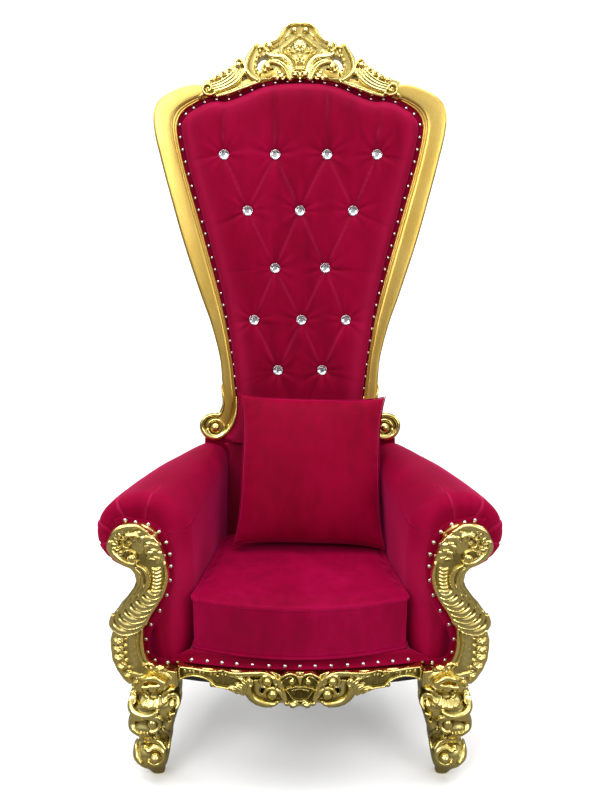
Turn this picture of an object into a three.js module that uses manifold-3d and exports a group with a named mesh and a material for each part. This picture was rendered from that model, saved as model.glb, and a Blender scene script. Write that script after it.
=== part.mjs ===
// A high-back rococo throne chair in gilded carving and tufted crimson velvet.
// Millimetres, +Z up, the sitter faces -Y. Half views use u, the distance from the centre line.
import * as THREE from 'three';
import { mergeVertices } from 'three/addons/utils/BufferGeometryUtils.js';
import Module from 'manifold-3d';

const wasm = await Module();
wasm.setup();

// Seat sizes
const seatHeight = 460;
const cushionThickness = 131;
const seatFrontHalf = 260; // half the width between the arms at the front
const seatNarrowing = 0.135; // how much the half width shrinks for each mm of depth
const cushionDepth = 378;
const cushionBow = 50;
const cushionCrown = 12;
const baseBow = 36;
const baseFrontY = 14;
const gap = 0.5;

// Arm sizes
const armTop = 704;
const armTopFall = 16; // how much lower the arm is at its rear end
const armRadiusFront = 105;
const armRadiusBack = 54;
const armFront = 20; // where the arms' front faces stand
const armEdge = 26; // rounding where the roll turns onto its front face
const panelOffset = 0.1; // outer panel's place at the front, in roll radii outside the roll's centre
const rollFlatness = 0.9; // the roll's height as a share of its width
const neckAngle = -80; // where the roll ends and the outer panel starts, in degrees

// Base, legs and rails
const legHeight = 240;
const railHeight = 41;
const railThickness = 26;
const blockInner = 285;
const blockOuter = 366;
const blockDepth = 128;
const postThickness = 32;
const cheekDepth = 66;
const cheekClearance = 4.2; // between an arm's outer panel and the cheek beside it
const apronThickness = 25;
const bandHeight = 26; // velvet band between the apron and the cushion
const apronDrawnTop = 303; // the top that the heights in the apron's carving are drawn to
const rearLegRake = 70;
const rearFootHalf = 17;
const rearRailThickness = 24;
const rearRailRecess = 10;

// Back sizes, in the leaning plane of the back: u across, s up along it, n towards the rear
const backLean = 8.8; // degrees
const backY = 480;
const backPivotZ = 700;
const frameDepth = 45;
const frameCrown = 8;
const padClearance = 3.5;
const padRear = 21;
const padCrown = 38;
const padBorder = 5; // the border band's place behind the frame's front
const rearPanelThickness = 24;
const rearPanelCrown = 8;
const voluteU = 233;
const voluteS = 30;
const voluteRadius = 39;
const voluteSides = 14;

// Crest, buttons and pillow
const crestFront = -16;
const crestBack = 30;
const reliefHeight = 11;
const buttonRadius = 12.5;
const buttonHeight = 9;
const buttonSides = 6;
const buttonSink = 13; // how deep the buttons pull into the pad
const pillowSize = 390;
const pillowThickness = 112;
const pillowLean = 27; // degrees
const pillowTurn = 1.5; // degrees, as it happens to stand
const pillowX = 28;
const pillowFootY = 247;

const deckTop = seatHeight - cushionThickness;
const apronTop = deckTop - bandHeight;
const railTop = legHeight + railHeight;
const radians = THREE.MathUtils.degToRad;
const mirror = ([u, v]) => [-u, v];

const innerLine = (y) => seatFrontHalf - seatNarrowing * y;
const backTilt = radians(backLean);

// Where the front plane of the back is at a height, and how far up that plane a height lies
const backYAt = (z) => backY + (z - backPivotZ) * Math.tan(backTilt);
const backSAt = (z, n = 0) => (z - backPivotZ + n * Math.sin(backTilt)) / Math.cos(backTilt);
const stileFootY = backYAt(railTop);
const stileDepth = frameDepth / Math.cos(backTilt);
const bowAt = (u, half, depth) => depth * (1 - Math.min(1, (u / half) ** 2));

// Points on a smooth curve through a few given points
function smooth(points, count, closed = false) {
  const curve = new THREE.CatmullRomCurve3(
    points.map(([a, b]) => new THREE.Vector3(a, b, 0)), closed, 'catmullrom', 0.5);
  const steps = closed ? count : count - 1;
  return Array.from({ length: count }, (_, i) => {
    const p = curve.getPoint(i / steps);
    return [p.x, p.y];
  });
}

// A closed surface through rings of equal length, with a fan over each end
function loft(rings) {
  const count = rings[0].length;
  const positions = rings.flat().flatMap((p) => [p.x, p.y, p.z]);
  const index = [];
  for (let r = 0; r < rings.length - 1; r++) {
    for (let i = 0; i < count; i++) {
      const a = r * count + i;
      const b = r * count + ((i + 1) % count);
      index.push(a, b, a + count, b, b + count, a + count);
    }
  }
  const ends = [[rings[0], 0, 1], [rings.at(-1), (rings.length - 1) * count, 0]];
  for (const [ring, start, flip] of ends) {
    const centre = ring.reduce((sum, p) => sum.add(p), new THREE.Vector3()).divideScalar(count);
    const middle = positions.length / 3;
    positions.push(centre.x, centre.y, centre.z);
    for (let i = 0; i < count; i++) {
      const pair = [start + i, start + ((i + 1) % count)];
      index.push(middle, ...(flip ? pair.reverse() : pair));
    }
  }
  const geometry = new THREE.BufferGeometry();
  geometry.setAttribute('position', new THREE.Float32BufferAttribute(positions, 3));
  geometry.setIndex(index);
  return solid(geometry);
}

// A three.js geometry as a manifold solid, turned to face outwards
function solid(geometry) {
  const bare = geometry.clone();
  bare.deleteAttribute('normal');
  bare.deleteAttribute('uv');
  const merged = mergeVertices(bare, 1e-3);
  const vertices = merged.attributes.position.array;
  const triangles = new Uint32Array(merged.index.array);
  const corner = (k) => new THREE.Vector3().fromArray(vertices, 3 * triangles[k]);
  let volume = 0;
  for (let k = 0; k < triangles.length; k += 3) {
    volume += corner(k).dot(corner(k + 1).cross(corner(k + 2)));
  }
  if (volume < 0) {
    for (let k = 0; k < triangles.length; k += 3) {
      [triangles[k + 1], triangles[k + 2]] = [triangles[k + 2], triangles[k + 1]];
    }
  }
  return new wasm.Manifold(
    new wasm.Mesh({ numProp: 3, vertProperties: vertices, triVerts: triangles }));
}

const join = (solids) => solids.reduce((sum, s) => sum.add(s));

function geometryOf(manifold) {
  const mesh = manifold.getMesh();
  const geometry = new THREE.BufferGeometry();
  const vertices = new Float32Array(mesh.numVert * 3);
  for (let i = 0; i < mesh.numVert; i++) {
    vertices.set(mesh.vertProperties.subarray(i * mesh.numProp, i * mesh.numProp + 3), i * 3);
  }
  geometry.setAttribute('position', new THREE.BufferAttribute(vertices, 3));
  geometry.setIndex(new THREE.BufferAttribute(mesh.triVerts, 1));
  return geometry;
}

const finish = (color, roughness, metalness) =>
  new THREE.MeshStandardMaterial({ color, roughness, metalness });
const gilt = finish(0xd9ae3f, 0.3, 1);
const velvet = finish(0x9c0030, 0.9, 0);
const cushionVelvet = finish(0xa60038, 0.9, 0);
const crystal = finish(0xe8ecf4, 0.05, 0.2);

const throne = new THREE.Group();
const back = new THREE.Group();
back.position.set(0, backY, backPivotZ);
back.rotation.x = -backTilt;
throne.add(back);

function addPiece(parent, name, manifold, material) {
  const mesh = new THREE.Mesh(geometryOf(manifold), material);
  mesh.name = name;
  parent.add(mesh);
  return mesh;
}

const bothSides = (name, parent, build, material) => {
  addPiece(parent, `${name}_left`, build(-1), material);
  addPiece(parent, `${name}_right`, build(1), material);
};

// A raised strand of carving along a path on a surface, thickest in its middle
function strand(place, path, width, height, samples = 9, sides = 5) {
  const line = smooth(path, samples);
  const rings = line.map(([a, b], i) => {
    const before = line[Math.max(0, i - 1)];
    const after = line[Math.min(samples - 1, i + 1)];
    const along = Math.hypot(after[0] - before[0], after[1] - before[1]);
    const normal = [(before[1] - after[1]) / along, (after[0] - before[0]) / along];
    const share = i / (samples - 1);
    const swell = 0.35 + 0.65 * Math.sin(Math.PI * Math.min(1, 0.12 + 0.88 * share));
    return Array.from({ length: sides }, (_, k) => {
      const turn = (2 * Math.PI * k) / sides + Math.PI / 2;
      const across = Math.cos(turn) * (width / 2) * swell;
      return place(a + normal[0] * across, b + normal[1] * across, Math.sin(turn) * height * swell);
    });
  });
  return loft(rings);
}

// A round boss, such as the eye of a scroll
function boss(place, [a, b], radius, height, sides = 7) {
  const levels = [[1, -0.5], [1, 0.25], [0.45, 1]];
  return loft(levels.map(([share, lift]) => Array.from({ length: sides }, (_, k) => {
    const turn = (2 * Math.PI * k) / sides;
    return place(a + radius * share * Math.cos(turn), b + radius * share * Math.sin(turn), height * lift);
  })));
}

// Arms: a roll over an upright panel, from the post at the front to the plane of the back
function armSection(share) {
  const radius = armRadiusBack + (armRadiusFront - armRadiusBack) * (1 - share ** 1.7);
  const panel = radius * (1 + panelOffset * (1 - share));
  const rise = radius * rollFlatness;
  return { radius, rise, panel, centreZ: armTop - armTopFall * share ** 2 - rise };
}

function armRing(side, share, inset, depth) {
  const { radius, rise, panel, centreZ } = armSection(share);
  const arcSteps = 12;
  const bottom = railTop + 2 * gap;
  const points = [[inset, bottom]];
  for (let i = 0; i <= arcSteps; i++) {
    const turn = radians(180 + ((neckAngle - 180) * i) / arcSteps);
    points.push([radius + (radius - inset) * Math.cos(turn), centreZ + (rise - inset) * Math.sin(turn)]);
  }
  points.push([panel, centreZ - rise - 30], [panel, bottom]);
  return points.map(([out, z]) => {
    const y = armFront + depth + share * (backYAt(z) - gap - armFront);
    return new THREE.Vector3(side * (innerLine(y) + out), y, z);
  });
}

function arm(side) {
  const stations = [[0, armEdge, 0], [0, armEdge * 0.35, armEdge * 0.3], [0, 0, armEdge],
    ...[0.25, 0.45, 0.65, 0.83, 1].map((share) => [share, 0, 0])];
  return loft(stations.map(([share, inset, depth]) => armRing(side, share, inset, depth)));
}
bothSides('arm', throne, arm, velvet);

// Arm posts: the scrolled carving on the front of each arm, with the corner block under it
const postOutline = [[316, 605], [346, 632], [384, 641], [417, 630], [430, 604], [420, 571],
  [397, 549], [374, 536], [374, 504], [391, 473], [416, 441], [434, 402], [430, 386], [437, 341],
  [433, 305], [418, 278], [400, 252], [366, 244], [352, 300], [367, 330], [367, 375], [352, 415],
  [327, 456], [309, 492], [301, 528], [303, 565]];

const postRear = armFront - gap;
const postFace = postRear - postThickness;
const postPlace = (side) => (u, z, height) => new THREE.Vector3(side * u, postFace - height, z);

function extrudedAlongY(side, outline, fromY, toY, bevel) {
  const shape = new THREE.Shape(outline.map(([u, z]) => new THREE.Vector2(side * u, z)));
  const geometry = new THREE.ExtrudeGeometry(shape, {
    depth: toY - fromY - bevel, steps: 1, bevelEnabled: bevel > 0, bevelSegments: 1,
    bevelThickness: bevel, bevelSize: bevel, bevelOffset: -bevel });
  geometry.rotateX(Math.PI / 2);
  geometry.translate(0, toY, 0);
  return solid(geometry);
}

// The back half of a bevelled extrusion is cut away, so that it lies flat on what is behind it
function plaque(side, outline, fromY, toY, bevel) {
  const whole = extrudedAlongY(side, outline, fromY, toY + bevel, bevel);
  return whole.trimByPlane([0, -1, 0], -toY);
}

function armPost(side) {
  const place = postPlace(side);
  const cheekInner = railOuter(armFront) + cheekClearance;
  const cheek = [[cheekInner, 392], [431, 386], [437, 341], [433, 305], [418, 278], [400, 252],
    [cheekInner, legHeight + gap]];
  const block = [[blockInner, legHeight + gap], [blockInner, railTop], [cheekInner, railTop],
    [blockOuter + 30, legHeight + gap]];
  const shellRows = 4;
  const flutes = Array.from({ length: shellRows }, (_, i) => {
    const t = i / (shellRows - 1);
    const centre = [352 + 52 * t, 476 - 82 * t];
    const reach = 24 + 3 * t;
    return strand(place, [[centre[0] - reach, centre[1] + 2], [centre[0] - 8, centre[1] - 15 - 4 * t],
      [centre[0] + reach, centre[1] + 4 - 4 * t]], 15, 8, 4, 4);
  });
  const leaves = Array.from({ length: 4 }, (_, i) => {
    const turn = radians(200 - 42 * i);
    const at = (r) => [370 + 1.16 * r * Math.cos(turn), 588 + r * Math.sin(turn)];
    return boss(place, at(37), 12, 11, 5);
  });
  return join([
    plaque(side, postOutline, postFace, postRear, 8),
    extrudedAlongY(side, cheek, postFace + 9, cheekDepth, 0),
    extrudedAlongY(side, block, postFace + 7, blockDepth, 0),
    strand(place, [[318, 520], [322, 585], [360, 622], [400, 612], [408, 580], [384, 562], [366, 582]],
      22, 13, 9, 4),
    strand(place, [[356, 528], [354, 500], [372, 468], [396, 436]], 18, 10, 5, 4),
    strand(place, [[415, 372], [420, 330], [404, 284], [372, 262]], 24, 11, 6, 4),
    boss(place, [378, 588], 15, 15, 6),
    ...flutes,
    ...leaves,
  ]);
}
bothSides('arm_post', throne, armPost, gilt);

// Front legs: [height, outer u, inner u, front y, rear y]
const legStations = [[0, 358, 328, -6, 20], [16, 371, 326, -14, 28], [36, 388, 318, -32, 32],
  [58, 393, 313, -38, 36], [78, 388, 310, -32, 38], [100, 374, 306, -18, 42], [118, 389, 304, -28, 48],
  [138, 401, 299, -38, 56], [157, 396, 293, -32, 64], [180, 402, 286, -38, 82], [202, 393, 284, -34, 98],
  [222, 376, 285, -18, 112], [240, 392, 285, -24, 127]];

function frontLeg(side) {
  const sides = 10;
  const top = legHeight / legStations.at(-1)[0];
  const rings = legStations.map(([z, outer, inner, front, rear]) =>
    Array.from({ length: sides }, (_, k) => {
      const turn = (2 * Math.PI * (k + 0.5)) / sides;
      const square = (v) => Math.sign(v) * Math.abs(v) ** 0.7;
      const u = (outer + inner) / 2 + ((outer - inner) / 2) * square(Math.cos(turn));
      const y = (front + rear) / 2 + ((rear - front) / 2) * square(Math.sin(turn));
      return new THREE.Vector3(side * u, y, z * top);
    }));
  const place = (depth) => (u, z, height) => new THREE.Vector3(side * u, depth - height, z * top);
  return join([
    loft(rings),
    boss(place(-28), [352, 54], 17, 14, 6),
    boss(place(-30), [356, 140], 15, 14, 6),
    boss(place(-22), [310, 178], 17, 13, 6),
    strand(place(-28), [[330, 216], [322, 190], [338, 168], [366, 172], [386, 196]], 20, 13, 6, 4),
    strand(place(-14), [[318, 150], [326, 122], [322, 92], [330, 66]], 16, 12, 5, 4),
  ]).trimByPlane([0, 0, 1], 0);
}
bothSides('front_leg', throne, frontLeg, gilt);

// Outer line of the rails, under the arms' outer panels
function railOuter(y) {
  const share = Math.max(0, (y - armFront) / (stileFootY - armFront));
  return innerLine(y) + armSection(Math.min(1, share)).panel;
}

// The stiles of the back come down behind the arms, and the rear legs carry on from their feet
const stileInner = innerLine(stileFootY);
const stileOuter = railOuter(stileFootY);

function rearLeg(side) {
  const stations = 7;
  return loft(Array.from({ length: stations }, (_, i) => {
    const fall = 1 - i / (stations - 1);
    const sweep = rearLegRake * fall ** 1.6;
    const halfU = (stileOuter - stileInner) / 2;
    const centreU = (stileInner + stileOuter) / 2;
    const halfY = stileDepth / 2;
    const taper = (half) => half + (rearFootHalf - half) * fall;
    const centreY = stileFootY + halfY + sweep;
    return [[-1, -1], [1, -1], [1, 1], [-1, 1]].map(([a, b]) => new THREE.Vector3(
      side * (centreU + a * taper(halfU)), centreY + b * taper(halfY), railTop * (1 - fall)));
  }));
}
bothSides('rear_leg', throne, rearLeg, gilt);

// Side rails, between the corner blocks and the rear legs, scalloped below
function sideRail(side) {
  const start = blockDepth + gap;
  const end = stileFootY - gap;
  const stations = 11;
  return loft(Array.from({ length: stations }, (_, i) => {
    const t = i / (stations - 1);
    const y = start + (end - start) * t;
    const outer = railOuter(y);
    const bottom = legHeight - 16 * Math.sin(Math.PI * t) ** 2 + 7 * Math.sin(3 * Math.PI * t) ** 2;
    return [[outer, railTop], [outer + 6, railTop - 12], [outer, bottom], [outer - railThickness, bottom],
      [outer - railThickness, railTop]].map(([u, z]) => new THREE.Vector3(side * u, y, z));
  }));
}
bothSides('side_rail', throne, sideRail, gilt);

const rearRailHalf = stileInner - gap;
const rearRailY = stileFootY + rearRailRecess;
const rearRail = loft([-rearRailHalf, 0, rearRailHalf].map((x) =>
  [[0, railTop], [1, railTop], [1, legHeight], [0, legHeight]].map(([t, z]) =>
    new THREE.Vector3(x, rearRailY + t * rearRailThickness, z))));
addPiece(throne, 'rear_rail', rearRail, gilt);

// Seat base: a tray inside the rails, with the velvet band on top of it
function slab(plan, fromZ, toZ) {
  return loft([fromZ, toZ].map((z) => plan.map(([x, y]) => new THREE.Vector3(x, y, z))));
}

function basePlan(halfAt, rearY, steps = 12) {
  const frontHalf = halfAt(baseFrontY);
  const front = Array.from({ length: steps + 1 }, (_, i) => {
    const x = frontHalf * ((2 * i) / steps - 1);
    return [x, baseFrontY - bowAt(x, blockInner, baseBow)];
  });
  const sides = [0.3, 0.6, 1].map((t) => t * rearY);
  const right = sides.map((y) => [halfAt(y), y]);
  return [...front, ...right, ...right.map(mirror).reverse()];
}

const trayHalf = (y) => Math.min(blockInner - gap, railOuter(y) - railThickness - gap);
const trayRear = stileFootY - gap;
const bandRear = rearRailY - gap;
addPiece(throne, 'seat_base', join([
  slab(basePlan(trayHalf, trayRear), legHeight + 6, railTop),
  slab(basePlan((y) => innerLine(y) - gap, bandRear), railTop - gap, deckTop - gap),
]), velvet);

// Apron: the carved front rail, bowed with the seat
const apronProfile = [[0, 212], [18, 208], [34, 220], [68, 215], [95, 219], [120, 236], [150, 250],
  [176, 248], [194, 254], [202, 263], [224, 270], [256, 267], [284, 254]];
const apronEnd = blockInner - gap;
const apronFaceY = (u) => baseFrontY - bowAt(u, blockInner, baseBow) - gap - apronThickness;
const apronPlace = (u, z, height) => new THREE.Vector3(u, apronFaceY(u) - height, z);
const apronRise = apronTop - apronDrawnTop;

function apron() {
  const lower = smooth(apronProfile, 15);
  const half = lower.map(([u, z]) => [(u / 284) * apronEnd, z + apronRise]);
  const stations = [...half.slice(1).reverse().map(mirror), ...half];
  const body = loft(stations.map(([u, z]) => {
    const faceY = apronFaceY(u);
    const notch = 7 * Math.exp(-(((Math.abs(u) - 46) / 14) ** 2));
    const top = apronTop - notch - 4 * (Math.abs(u) / apronEnd) ** 2;
    return [[faceY, top], [faceY + apronThickness, top], [faceY + apronThickness, z], [faceY, z]]
      .map(([y, height]) => new THREE.Vector3(u, y, height));
  }));
  const carved = [-1, 1].flatMap((side) => {
    const place = (u, z, height) => apronPlace(side * u, z + apronRise, height);
    return [
      strand(place, [[4, 292], [34, 296], [58, 276], [44, 250], [20, 224]], 15, reliefHeight, 7, 4),
      strand(place, [[50, 290], [80, 297], [130, 295], [170, 296]], 10, reliefHeight * 0.7, 5, 4),
      strand(place, [[128, 250], [112, 231], [82, 225], [62, 238], [72, 254]], 17, reliefHeight, 7, 4),
      strand(place, [[280, 262], [240, 275], [210, 268]], 9, reliefHeight * 0.6, 4, 4),
      boss(place, [76, 274], 12, reliefHeight, 6),
      boss(place, [65, 240], 11, reliefHeight, 6),
    ];
  });
  const shell = [-1.6, -0.55, 0.55, 1.6].map((k) =>
    strand(apronPlace, [[k * 3, 222 + apronRise], [k * 9, 240 + apronRise],
      [k * 13, 262 - Math.abs(k) * 3 + apronRise]], 12, reliefHeight, 3, 4));
  const piercings = [-1, 1].map((side) => loft([-2, apronThickness + 12].map((depth) =>
    Array.from({ length: 6 }, (_, k) => {
      const turn = (2 * Math.PI * k) / 6;
      const u = side * (88 + 7 * Math.cos(turn));
      return new THREE.Vector3(u, apronFaceY(88) - 12 + depth * 1.3, 250 + 9 * Math.sin(turn) + apronRise);
    }))));
  return piercings.reduce((left, hole) => left.subtract(hole), join([body, ...carved, ...shell]));
}
addPiece(throne, 'apron', apron(), gilt);

// Seat cushion: a bowed box cushion with a soft crown
function cushionPlan(inset, scale = 1) {
  const steps = 14;
  const half = innerLine(0) - 2 * gap - inset;
  const front = Array.from({ length: steps + 1 }, (_, i) => {
    const x = half * ((2 * i) / steps - 1);
    return [x, inset - bowAt(x, half, cushionBow)];
  });
  const sideAt = (y) => innerLine(y) - 2 * gap - inset;
  const right = [0.12, 0.5, 0.85].map((t) => [sideAt(t * cushionDepth), t * cushionDepth]);
  const corner = [[sideAt(cushionDepth) - 10, cushionDepth * 0.96 - inset],
    [sideAt(cushionDepth) - 30, cushionDepth - inset]];
  const rightSide = [...right, ...corner];
  const plan = [...front, ...rightSide, ...rightSide.map(mirror).reverse()];
  const middleY = cushionDepth / 2;
  return plan.map(([x, y]) => [x * scale, middleY + (y - middleY) * scale]);
}

const cushionLevels = [[0, 8, 1], [7, 0, 1], [cushionThickness - 10, 0, 1], [cushionThickness - 3, 4, 1],
  [cushionThickness, 12, 1], [cushionThickness + cushionCrown * 0.7, 12, 0.78],
  [cushionThickness + cushionCrown, 12, 0.45]];
addPiece(throne, 'seat_cushion', loft(cushionLevels.map(([rise, inset, scale]) =>
  cushionPlan(inset, scale).map(([x, y]) => new THREE.Vector3(x, y, deckTop + rise)))), cushionVelvet);

// Back frame: matching points along its inner and outer edges, [inner u, inner s, outer u, outer s]
const stileFootS = backSAt(railTop, frameDepth) + gap;
const armInnerAt = (s) => innerLine(backY + s * Math.sin(backTilt));
const frameEdges = [[armInnerAt(stileFootS), stileFootS, stileOuter, stileFootS],
  [armInnerAt(-200), -200, stileOuter, -200],
  [armInnerAt(-30), -30, 250, -30], [188, -6, 240, 10], [168, 34, 229, 52], [167, 60, 222, 74],
  [173, 106, 210, 106],
  [181, 162, 215, 160], [187, 217, 221, 225], [202, 313, 243, 313], [221, 400, 273, 400],
  [255, 531, 315, 531], [285, 640, 345, 640], [312, 741, 373, 750], [328, 822, 391, 832],
  [325, 858, 391, 884], [305, 886, 366, 920], [262, 910, 300, 949], [227, 919, 240, 949],
  [196, 919, 196, 945], [158, 932, 158, 958], [110, 952, 110, 978], [60, 963, 60, 990], [0, 966, 0, 993]];
const innerEdge = frameEdges.map(([u, s]) => [u, s]);
const outerEdge = frameEdges.map(([, , u, s]) => [u, s]);

function frameRing([innerU, innerS], [outerU, outerS], grow) {
  const acrossU = outerU - innerU;
  const acrossS = outerS - innerS;
  const width = Math.hypot(acrossU, acrossS);
  const more = grow / width;
  const profile = [[0, frameDepth], [0, 4], [0.12, -0.6 * frameCrown], [0.35, -frameCrown],
    [0.8, -frameCrown], [1, 5], [1, frameDepth]];
  return profile.map(([t, n]) => {
    const share = t * (1 + 2 * more) - more;
    const behindArm = innerS < 0;
    const depth = (behindArm ? Math.max(0, n) : n) + (n > frameDepth / 2 ? grow : -grow);
    return new THREE.Vector3(innerU + acrossU * share, depth, innerS + acrossS * share);
  });
}

const backPlace = (front) => (u, s, height) => new THREE.Vector3(u, front - height, s);

function backFrame(grow = 0) {
  const samples = 30;
  const inner = smooth(innerEdge, samples);
  const outer = smooth(outerEdge, samples);
  const left = inner.map((p, i) => frameRing(mirror(p), mirror(outer[i]), grow));
  const right = inner.map((p, i) => frameRing(p, outer[i], grow)).reverse();
  const volutes = [-1, 1].map((side) => loft([frameDepth + grow, 4, -3 - grow].map((n, i) =>
    Array.from({ length: voluteSides }, (_, k) => {
      const turn = (2 * Math.PI * k) / voluteSides;
      const r = voluteRadius + grow - (i === 2 ? 6 : 0);
      return new THREE.Vector3(side * voluteU + r * Math.cos(turn), n, voluteS + r * Math.sin(turn));
    }))));
  const spirals = [-1, 1].flatMap((side) => {
    const place = (u, s, height) => backPlace(-2)(side * u, s, height);
    const coil = Array.from({ length: 8 }, (_, i) => {
      const turn = radians(-70 - 48 * i);
      const r = voluteRadius - 9 - 2.2 * i;
      return [voluteU - r * Math.cos(turn), voluteS + r * Math.sin(turn)];
    });
    return [strand(place, coil, 14, 8, 10, 4), boss(place, [voluteU, voluteS], 13, 8, 6)];
  });
  return join([loft([...left, ...right.slice(1)]), ...volutes, ...(grow ? [] : spirals)]);
}
addPiece(back, 'back_frame', backFrame(), gilt);

// A patch over the back, from its foot to the arch: x share -1 to 1 across, rise 0 to 1 up
function backPatch(clearance, footS) {
  const padFoot = [footS, -200, -60, -32].map((s) => [armInnerAt(s) - 2 * gap, s]);
  const rising = innerEdge.filter(([, s]) => s > 0);
  const cornerIndex = rising.findIndex(([, s]) => s > 880);
  const shrink = ([u, s], i, all) => {
    const before = all[Math.max(0, i - 1)];
    const after = all[Math.min(all.length - 1, i + 1)];
    const length = Math.hypot(after[0] - before[0], after[1] - before[1]);
    const inward = clearance / length;
    return [u - inward * (after[1] - before[1]), s + inward * (after[0] - before[0])];
  };
  const edge = [...padFoot, ...rising.map(shrink)];
  edge.at(-1)[0] = 0;
  const turn = padFoot.length + cornerIndex;
  const curve = (points) => new THREE.CatmullRomCurve3(
    points.map(([u, s]) => new THREE.Vector3(u, s, 0)), false, 'catmullrom', 0.5);
  const side = curve(edge.slice(0, turn + 1));
  const top = curve(edge.slice(turn).reverse());
  const corner = edge[turn];
  const foot = edge[0];
  return (across, rise) => {
    const a = Math.abs(across);
    const sidePoint = side.getPointAt(rise);
    const topPoint = top.getPointAt(a);
    const crown = edge.at(-1);
    const u = a * sidePoint.x + (1 - rise) * a * foot[0] + rise * topPoint.x
      - a * ((1 - rise) * foot[0] + rise * corner[0]);
    const s = (1 - a) * (foot[1] + rise * (crown[1] - foot[1])) + a * sidePoint.y
      + (1 - rise) * foot[1] + rise * topPoint.y
      - (1 - a) * ((1 - rise) * foot[1] + rise * crown[1])
      - a * ((1 - rise) * foot[1] + rise * corner[1]);
    return [Math.sign(across) * u, s];
  };
}

// Diamond tufting: rows of buttons, [u, s] in the plane of the back
const buttonRows = [[764, [-202, -66, 72, 205]], [617, [-140, 0, 142]], [465, [-67, 68]],
  [326, [-124, 4, 124]], [190, [-60, 60]]];
const buttons = buttonRows.flatMap(([s, places]) => places.map((u) => [u, s]));

function padRelief(u, s, across, rise) {
  const edgeRound = Math.min(1, (1 - Math.abs(across)) / 0.22) * Math.min(1, (1 - rise) / 0.06);
  const crown = Math.sqrt(Math.max(0, 1 - (1 - edgeRound) ** 2));
  const pull = buttons.reduce((sum, [bu, bs]) =>
    sum + Math.exp(-((u - bu) ** 2 + (s - bs) ** 2) / 34 ** 2), 0);
  return Math.max(0, crown * padCrown - buttonSink * Math.min(1, pull));
}

function quilt(patch, columns, rows, frontAt, rearAt) {
  const rowRings = Array.from({ length: rows + 1 }, (_, j) => {
    const rise = j / rows;
    const front = [];
    const rear = [];
    for (let i = 0; i <= columns; i++) {
      const across = Math.sin((Math.PI / 2) * ((2 * i) / columns - 1));
      const [u, s] = patch(across, rise);
      front.push(new THREE.Vector3(u, frontAt(u, s, across, rise), s));
      if (i % 3 === 0 || i === columns) rear.unshift(new THREE.Vector3(u, rearAt(u, s, across, rise), s));
    }
    return [...front, ...rear];
  });
  return loft(rowRings);
}

function backPad() {
  const patch = backPatch(padClearance, backSAt(deckTop, padRear) + gap);
  const pad = quilt(patch, 12, 21,
    (u, s, across, rise) => padBorder - padRelief(u, s, across, rise), () => padRear);
  const seats = buttons.map(([u, s]) => buttonShape(u, s, 2 * gap, padCrown));
  return [backFrame(gap), ...seats].reduce((left, hole) => left.subtract(hole), pad);
}

const buttonSeatN = padBorder - padCrown + buttonSink;

function buttonShape(u, s, grow, reach) {
  const profile = [[1, 0], [1, buttonHeight * 0.45], [0.62, buttonHeight]];
  const levels = grow ? [[1, 0], [1, reach]] : profile;
  return loft(levels.map(([share, rise]) => Array.from({ length: buttonSides }, (_, k) => {
    const turn = (2 * Math.PI * (k + 0.5)) / buttonSides;
    const r = (buttonRadius + grow) * share;
    return new THREE.Vector3(u + r * Math.cos(turn), buttonSeatN + grow - rise, s + r * Math.sin(turn));
  })));
}
addPiece(back, 'back_pad', backPad(), velvet);
buttons.forEach(([u, s], i) => {
  addPiece(back, `crystal_button_${String(i + 1).padStart(2, '0')}`, buttonShape(u, s, 0, 0), crystal);
});

// Rear panel: the plain velvet back of the chair, inside the frame
function rearPanel() {
  const patch = backPatch(padClearance, stileFootS + gap);
  const rearAt = (u, s, across, rise) => padRear + gap + rearPanelThickness
    + rearPanelCrown * Math.cos((across * Math.PI) / 2) * Math.sin(Math.PI * Math.min(1, rise)) ** 0.5;
  return quilt(patch, 9, 14, () => padRear + gap, rearAt).subtract(backFrame(gap));
}
addPiece(back, 'rear_panel', rearPanel(), velvet);

// Crest: a pierced carving on top of the frame
const crestOutline = [[0, 1110], [22, 1110], [42, 1097], [62, 1068], [84, 1059], [99, 1047], [113, 1058],
  [135, 1029], [164, 1012], [196, 992], [236, 968], [268, 960], [263, 940], [250, 926], [226, 922],
  [190, 932], [150, 944], [112, 962], [60, 973], [0, 976]];
const crestOpenings = [[[94, 1022], [112, 1008], [116, 992], [104, 984], [92, 992], [84, 1008]],
  [[78, 1000], [70, 992], [66, 980], [78, 976], [98, 978], [92, 986]],
  [[146, 986], [160, 960], [132, 964]]];

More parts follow.
